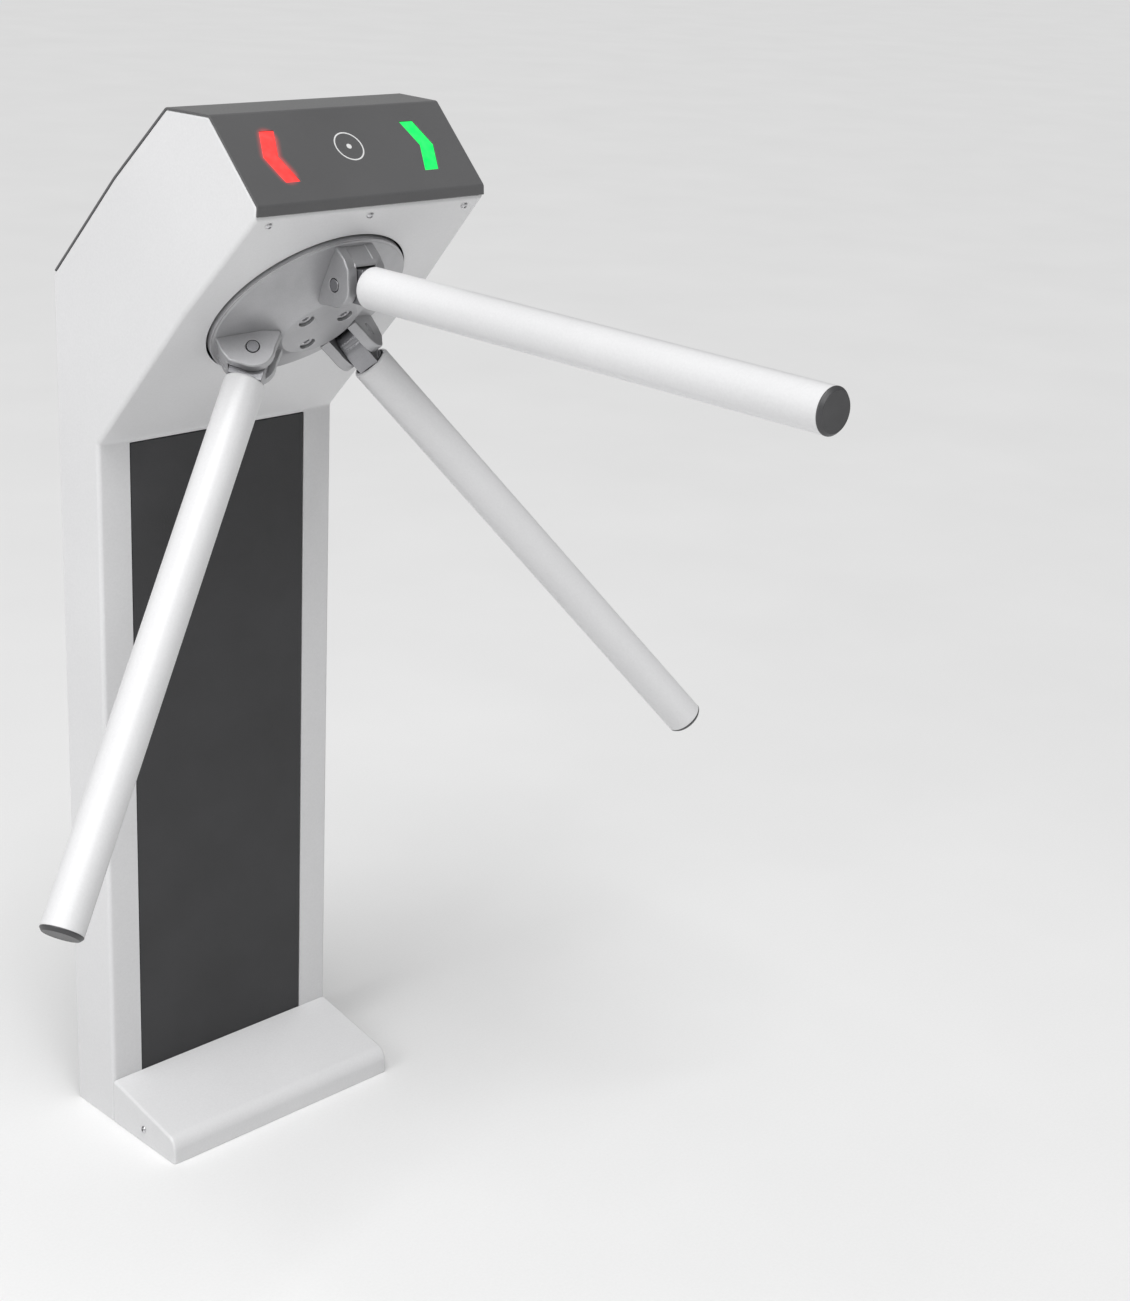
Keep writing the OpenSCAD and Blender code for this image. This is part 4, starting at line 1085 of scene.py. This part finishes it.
def fit_screws(model, name, places, body):
    """Copies of one screw, each in its own place; the first stands for the frame's whole group."""
    for k, spot in enumerate(places):
        nodes = [name + "s"] if k == 0 else ()
        settle(copied(model, f"{name}_{k + 1}", spot), body, "stainless", nodes, finish="turned")
    remove(model)


class TURNSTILE_OT_screws(bpy.types.Operator):
    """Fits the button-head screws of the cover, the foot cover and the back panel"""
    bl_idname = "turnstile.screws"
    bl_label = "Housing Screws"

    def execute(self, context):
        # Name, radius and height of the head, length of the thread, places
        groups = (("cover_screw", 0.0035, 0.0027, 0.0038, cover_screw_places()),
                  ("foot_screw", 0.0038, 0.0024, 0.0065, foot_screw_places()),
                  ("back_screw", 0.00425, 0.0026, 0.005, back_screw_places()))
        for name, head, height, reach, places in groups:
            fit_screws(button_screw(name + "_model", head, height, 0.002, reach), name, places, "cabinet")
        return {"FINISHED"}


# ---------------------------------------------------------------- rotor

# The casting under the boss, its three screws in their counterbores, and its skirt, in metres
BOSS_WALL = 0.010
COUNTERBORE = 0.007
COUNTERBORE_RADIUS = 0.0075
SCREW_BORE = 0.0045
SCREW_HEAD = 0.0065
SCREW_THREAD = 0.004
SCREW_DOWN = 0.0026
HEX_SOCKET = 0.0035
SKIRT_WALL = 0.009
PAST_RIM = 0.02
# The bridge behind each tongue, as (y, z) points in the hub's frame
BRIDGE = [(0.0815, 0), (0.0815, 0.0165), (0.0920, 0.0280), (0.0928, 0.0262), (0.0925, 0)]


def cone_line(s, lift=0.0, shrink=0.0):
    """The rotor's cones from the axis out past the rim, raised by lift, their boss smaller by shrink."""
    points = [(0, s.boss_height), (s.boss_radius - shrink, s.boss_height), (s.cone_radius, s.cone_height),
              (s.radius, s.rim), (s.radius + PAST_RIM, s.rim)]
    return [(radius, height + lift) for radius, height in points]


def rotor_screw_places(s):
    """Three spots round the boss, in the hub's frame."""
    return [Matrix.Rotation(pi / 6 + THIRD * k, 4, "Z") @ Matrix.Translation((s.screw_circle, 0, 0))
            for k in range(3)]


class TURNSTILE_OT_rotor(bpy.types.Operator):
    """Turns the rotor: a rim, two cones, a flat boss and three deep counterbores"""
    bl_idname = "turnstile.rotor"
    bl_label = "Rotor"

    def execute(self, context):
        s = context.scene.turnstile_rotor
        inside_rim, under_boss = s.radius - SKIRT_WALL, s.boss_height - BOSS_WALL
        rim_edge = [(s.radius - 0.0026, s.rim + 0.0009), (s.radius - 0.0018, s.rim), (s.radius, s.rim)]
        skirt = [(s.radius, -s.skirt), (inside_rim, -s.skirt), (inside_rim, s.rim - 0.0045)]
        underside = [(s.cone_radius - 0.002, s.cone_height - s.wall), (s.boss_radius + 0.003, under_boss),
                     (0, under_boss)]
        rotor = spun("rotor_cover", cone_line(s)[:3] + rim_edge + skirt + underside, 128)
        above = s.boss_height + 0.001
        for spot in rotor_screw_places(s):
            cut(rotor, place(rod("cutter", SCREW_BORE, 0, above, 48), spot),
                place(rod("cutter", COUNTERBORE_RADIUS, s.boss_height - COUNTERBORE, above, 48), spot))
        soften(rotor, 0.0006, 3, 30)
        settle(place(rotor, HUB), "hub", "cast_aluminium", ["rotor_disc"], angle=25)
        return {"FINISHED"}


class TURNSTILE_OT_rotor_screws(bpy.types.Operator):
    """Fits the three socket screws deep in the rotor's counterbores"""
    bl_idname = "turnstile.rotor_screws"
    bl_label = "Rotor Screws"

    def execute(self, context):
        s = context.scene.turnstile_rotor
        top, seat = s.boss_height - SCREW_DOWN, s.boss_height - COUNTERBORE
        tip = s.boss_height - BOSS_WALL - 0.008
        model = spun("rotor_screw_model", [(0, top), (SCREW_HEAD, top), (SCREW_HEAD, seat),
                                           (SCREW_THREAD, seat), (SCREW_THREAD, tip), (0, tip)], 48)
        cut(model, rod("cutter", HEX_SOCKET, top - 0.0035, top + 0.001, 6))
        soften(model, 0.0005, 3, 40)
        fit_screws(model, "rotor_screw", [HUB @ spot for spot in rotor_screw_places(s)], "hub")
        return {"FINISHED"}


class TURNSTILE_OT_ears(bpy.types.Operator):
    """Casts the three pairs of bracket ears that the arms hinge in"""
    bl_idname = "turnstile.ears"
    bl_label = "Bracket Ears"

    def execute(self, context):
        s = context.scene.turnstile_rotor
        arm = context.scene.turnstile_arms
        y, z = PIN.y, PIN.z
        outline = [(s.boss_radius, s.boss_height - 0.0005)] + arc((y, z), s.ear_radius, 150, 35, 10) + [
            (y + 0.025, z + 0.0025), (y + 0.027, z - 0.008), (y + 0.026, 0), (s.boss_radius, 0)]
        inner = arm.tongue / 2 + arm.gap
        web_half = inner + 0.001
        ear, other = (self.one_ear(outline, side, inner, s) for side in (-1, 1))
        web = block("web", (-web_half, s.boss_radius + 0.001, 0), (web_half, y + 0.024, s.boss_height))
        room = cone_line(s, 0.0015, 0.005) + [(s.radius + PAST_RIM, 0.1), (0, 0.1)]
        under = spun("cutter", cone_line(s) + [(s.radius + PAST_RIM, -0.005), (0, -0.005)])
        joined(ear, web, other)
        cut(ear, side_prism("cutter", room, -inner, inner))
        joined(ear, side_prism("bridge", BRIDGE, -web_half, web_half))
        drill(ear, arm.pin + 0.0004, 0.05, [ACROSS_PIN], 64)
        cut(ear, under)
        soften(ear, 0.0005, 3, 50)
        three_of(ear, "ear_casting_", "bracket_", "cast_aluminium", Matrix.Identity(4), "hub")
        return {"FINISHED"}

    def one_ear(self, outline, side, inner, s):
        """One ear, with the long rounded edge that its outer face has."""
        outer = inner + s.ear_thickness
        ear = side_prism("ear_model", outline, *sorted((side * inner, side * outer)))
        pick(ear, "EDGE", lambda e: all(abs(v.co.x) > outer - 1e-5 for v in e.verts))
        bpy.ops.mesh.bevel(offset=s.ear_edge, segments=4, affect="EDGES")
        bpy.ops.object.mode_set(mode="OBJECT")
        return ear


class TURNSTILE_OT_pins(bpy.types.Operator):
    """Turns the pivot pins, with a chamfer at each end"""
    bl_idname = "turnstile.pins"
    bl_label = "Pivot Pins"

    def execute(self, context):
        s = context.scene.turnstile_rotor
        arm = context.scene.turnstile_arms
        end = arm.tongue / 2 + arm.gap + s.ear_thickness + 0.0002
        flat, chamfer = arm.pin - 0.0007, 0.0009
        model = spun("pin_model", [(0, end), (flat, end), (arm.pin, end - chamfer), (arm.pin, -end + chamfer),
                                   (flat, -end), (0, -end)], 64)
        three_of(model, "pivot_pin_", "pin_", "stainless", ACROSS_PIN, "hub")
        return {"FINISHED"}


# ---------------------------------------------------------------- arms

def make_arms(model, name, node, slot):
    """Three copies of one arm piece, whose z runs along the arm from its pin."""
    lean = Matrix.Rotation(-bpy.context.scene.turnstile_arms.angle, 4, "X")
    three_of(model, name, node, slot, Matrix.Translation(PIN) @ lean)


class TURNSTILE_OT_tongues(bpy.types.Operator):
    """Mills the arm tongues: a round eye between the ears and a neck with a plug in the tube"""
    bl_idname = "turnstile.tongues"
    bl_label = "Arm Tongues"

    def execute(self, context):
        s = context.scene.turnstile_arms
        depth, bore, back = s.tongue_depth / 2, s.tube - s.wall, s.tongue_back
        butt, shoulder, plug_end = s.start - 0.0003, s.start + 0.006, s.start + 0.040
        eye = arc((0, 0), s.tongue_round, 180, 285, 10) + arc((0, 0), back, -8, 0, 3)
        outline = [(-depth, butt), (-depth, depth - s.tongue_round + 0.0015)] + eye + [(back, butt)]
        tongue = side_prism("tongue_model", outline, -s.tongue / 2, s.tongue / 2)
        neck = butt - 0.001
        plug = [(0, neck), (s.spigot, neck), (s.spigot, shoulder), (bore, shoulder + 0.001), (bore, plug_end),
                (0, plug_end)]
        joined(tongue, spun("plug", plug, 64))
        drill(tongue, s.pin + 0.00005, 0.05, [Matrix.Rotation(pi / 2, 4, "Y")], 64)
        soften(tongue, 0.0007, 3, 40)
        make_arms(tongue, "arm_tongue_", "tongue_", "stainless")
        return {"FINISHED"}


class TURNSTILE_OT_tubes(bpy.types.Operator):
    """Draws the white arm tubes with a rounded inner end"""
    bl_idname = "turnstile.tubes"
    bl_label = "Arm Tubes"

    def execute(self, context):
        s = context.scene.turnstile_arms
        end, edge = s.end - s.cap, 0.0003
        mouth, bore = s.tube - s.lip, s.tube - s.wall
        rounded = arc((mouth, s.start + s.lip), s.lip, 270, 360, 7)
        profile = [(mouth, s.start + 0.005), (mouth, s.start + 0.0004)] + rounded + [
            (s.tube, end - edge), (s.tube - edge, end), (bore, end), (bore, s.start + 0.0065)]
        make_arms(spun("tube_model", closed(profile)), "arm_tube_", "tube_", "white_powder_coat")
        return {"FINISHED"}


class TURNSTILE_OT_caps(bpy.types.Operator):
    """Moulds the dark end caps: a thin rim, a bevel, a sunk flat face and a plug"""
    bl_idname = "turnstile.caps"
    bl_label = "End Caps"

    def execute(self, context):
        s = context.scene.turnstile_arms
        root, bore, plug_end = s.end - s.cap, s.tube - s.wall, s.end - s.cap - 0.018
        rim, sunk = s.tube - s.cap_bevel, s.end - 0.0002
        face = [(0, sunk), (rim - 0.0012, sunk), (rim - 0.0006, s.end), (rim, s.end)]
        bevel = [(s.tube - 0.0004, s.end - s.cap_bevel + 0.0002), (s.tube, s.end - s.cap_bevel - 0.0004)]
        plug = [(s.tube, root), (bore, root), (bore, plug_end), (0, plug_end)]
        cap = spun("cap_model", face + bevel + plug)
        soften(cap, 0.0004, 3, 28)
        make_arms(cap, "arm_cap_", "cap_", "cap_plastic")
        return {"FINISHED"}


# ---------------------------------------------------------------- stage

CAMERA_AZIMUTH = radians(-45.86)
CAMERA_HEIGHT = radians(20.35)
CAMERA_ROLL = radians(2.98)
CAMERA_PLACE = Vector((-1.27025, -1.74858, 1.29441))
CAMERA_LENS_MM = 61.72
WORLD_LIGHT = 0.13
FLOOR_SIZE = 120
FLOOR_DOWN = 0.0002


def light(kind, name, power, spot, towards_lamp, **settings):
    """A lamp that shines from the given direction."""
    only(None)
    bpy.ops.object.light_add(type=kind, location=spot)
    lamp = named(name)
    lamp.data.energy = power
    for key, value in settings.items():
        setattr(lamp.data, key, value)
    lamp.rotation_euler = Vector(towards_lamp).to_track_quat("Z", "Y").to_euler()


def area_light(name, size, power, spot, target):
    """A soft square lamp that looks at a point."""
    light("AREA", name, power, spot, Vector(spot) - Vector(target), size=size)


class TURNSTILE_OT_stage(bpy.types.Operator):
    """Sets the pale floor, the soft studio light and the camera"""
    bl_idname = "turnstile.stage"
    bl_label = "Stage"

    def execute(self, context):
        only(None)
        bpy.ops.mesh.primitive_plane_add(size=FLOOR_SIZE, location=(0, 0, -FLOOR_DOWN))
        floor = named("studio_floor")
        floor.data.materials.append(FINISH["paper_floor"])
        self.add_world(context)
        # An even light from overhead, as soft as the angle it spans, lights the floor alike everywhere
        light("SUN", "overhead", 2.6, (0, 0, 3), (-0.22, -0.25, 0.95), angle=radians(45))
        area_light("key", size=1.2, power=20, spot=(-2.2, -0.35, 1.7), target=(0, -0.1, 0.95))
        area_light("rim", size=0.4, power=4, spot=(-0.7, -1.8, 1.9), target=(0, -0.25, 0.9))
        self.add_camera(context)
        context.scene.view_settings.view_transform = "Standard"
        return {"FINISHED"}

    def add_world(self, context):
        """A dim sky for the object, behind which the camera sees plain white."""
        world = bpy.data.worlds.new("studio")
        context.scene.world = world
        world.use_nodes = True
        tree = world.node_tree
        dim = tree.nodes["Background"]
        dim.inputs["Color"].default_value = (1, 1, 1, 1)
        dim.inputs["Strength"].default_value = WORLD_LIGHT
        seen = add(tree, "ShaderNodeBackground", {"Color": (1, 1, 1, 1), "Strength": 1.0}).outputs[0]
        camera_ray = add(tree, "ShaderNodeLightPath").outputs["Is Camera Ray"]
        mixed = add(tree, "ShaderNodeMixShader", {0: camera_ray, 1: dim.outputs[0], 2: seen}).outputs[0]
        tree.links.new(mixed, tree.nodes["World Output"].inputs["Surface"])

    def add_camera(self, context):
        """The camera, from its azimuth, its height over the horizon and its roll."""
        a, e = CAMERA_AZIMUTH, CAMERA_HEIGHT
        back = Vector((sin(a) * cos(e), -cos(a) * cos(e), sin(e)))
        right = (-back).cross(Vector((0, 0, 1))).normalized()
        up = right.cross(-back)
        turn = Matrix((right, up, back)).transposed() @ Matrix.Rotation(CAMERA_ROLL, 3, "Z")
        bpy.ops.object.camera_add()
        camera = named("camera")
        camera.matrix_world = Matrix.Translation(CAMERA_PLACE) @ turn.to_4x4()
        camera.data.lens = CAMERA_LENS_MM
        camera.data.sensor_width = 36
        camera.data.clip_end = 100
        context.scene.camera = camera


# ---------------------------------------------------------------- add-on

STEPS = (
    TURNSTILE_OT_finishes, TURNSTILE_OT_frame_finishes, TURNSTILE_OT_shell, TURNSTILE_OT_cover,
    TURNSTILE_OT_arrows, TURNSTILE_OT_mark, TURNSTILE_OT_inlay, TURNSTILE_OT_back_panel, TURNSTILE_OT_foot,
    TURNSTILE_OT_screws, TURNSTILE_OT_rotor, TURNSTILE_OT_rotor_screws, TURNSTILE_OT_ears, TURNSTILE_OT_pins,
    TURNSTILE_OT_tongues, TURNSTILE_OT_tubes, TURNSTILE_OT_caps, TURNSTILE_OT_stage,
)
SIZE_GROUPS = {"turnstile_housing": HousingSizes, "turnstile_rotor": RotorSizes,
               "turnstile_arms": ArmSizes, "turnstile_colours": Colours}


class TURNSTILE_PT_panel(bpy.types.Panel):
    """Sizes, colours and building steps of the turnstile"""
    bl_idname = "TURNSTILE_PT_panel"
    bl_label = "Turnstile"
    bl_space_type = "VIEW_3D"
    bl_region_type = "UI"
    bl_category = "Turnstile"

    def draw(self, context):
        for group, kind in SIZE_GROUPS.items():
            box = self.layout.box()
            box.label(text=kind.__name__)
            for name in kind.__annotations__:
                box.prop(getattr(context.scene, group), name)
        for step in STEPS:
            self.layout.operator(step.bl_idname)


def register():
    for kind in (*SIZE_GROUPS.values(), *STEPS, TURNSTILE_PT_panel):
        bpy.utils.register_class(kind)
    for group, kind in SIZE_GROUPS.items():
        setattr(bpy.types.Scene, group, PointerProperty(type=kind))


def unregister():
    for group in SIZE_GROUPS:
        delattr(bpy.types.Scene, group)
    for kind in reversed((*SIZE_GROUPS.values(), *STEPS, TURNSTILE_PT_panel)):
        bpy.utils.unregister_class(kind)


def main():
    register()
    for step in STEPS:
        family, name = step.bl_idname.split(".")
        getattr(getattr(bpy.ops, family), name)()
    only(None)


if __name__ == "__main__":
    main()
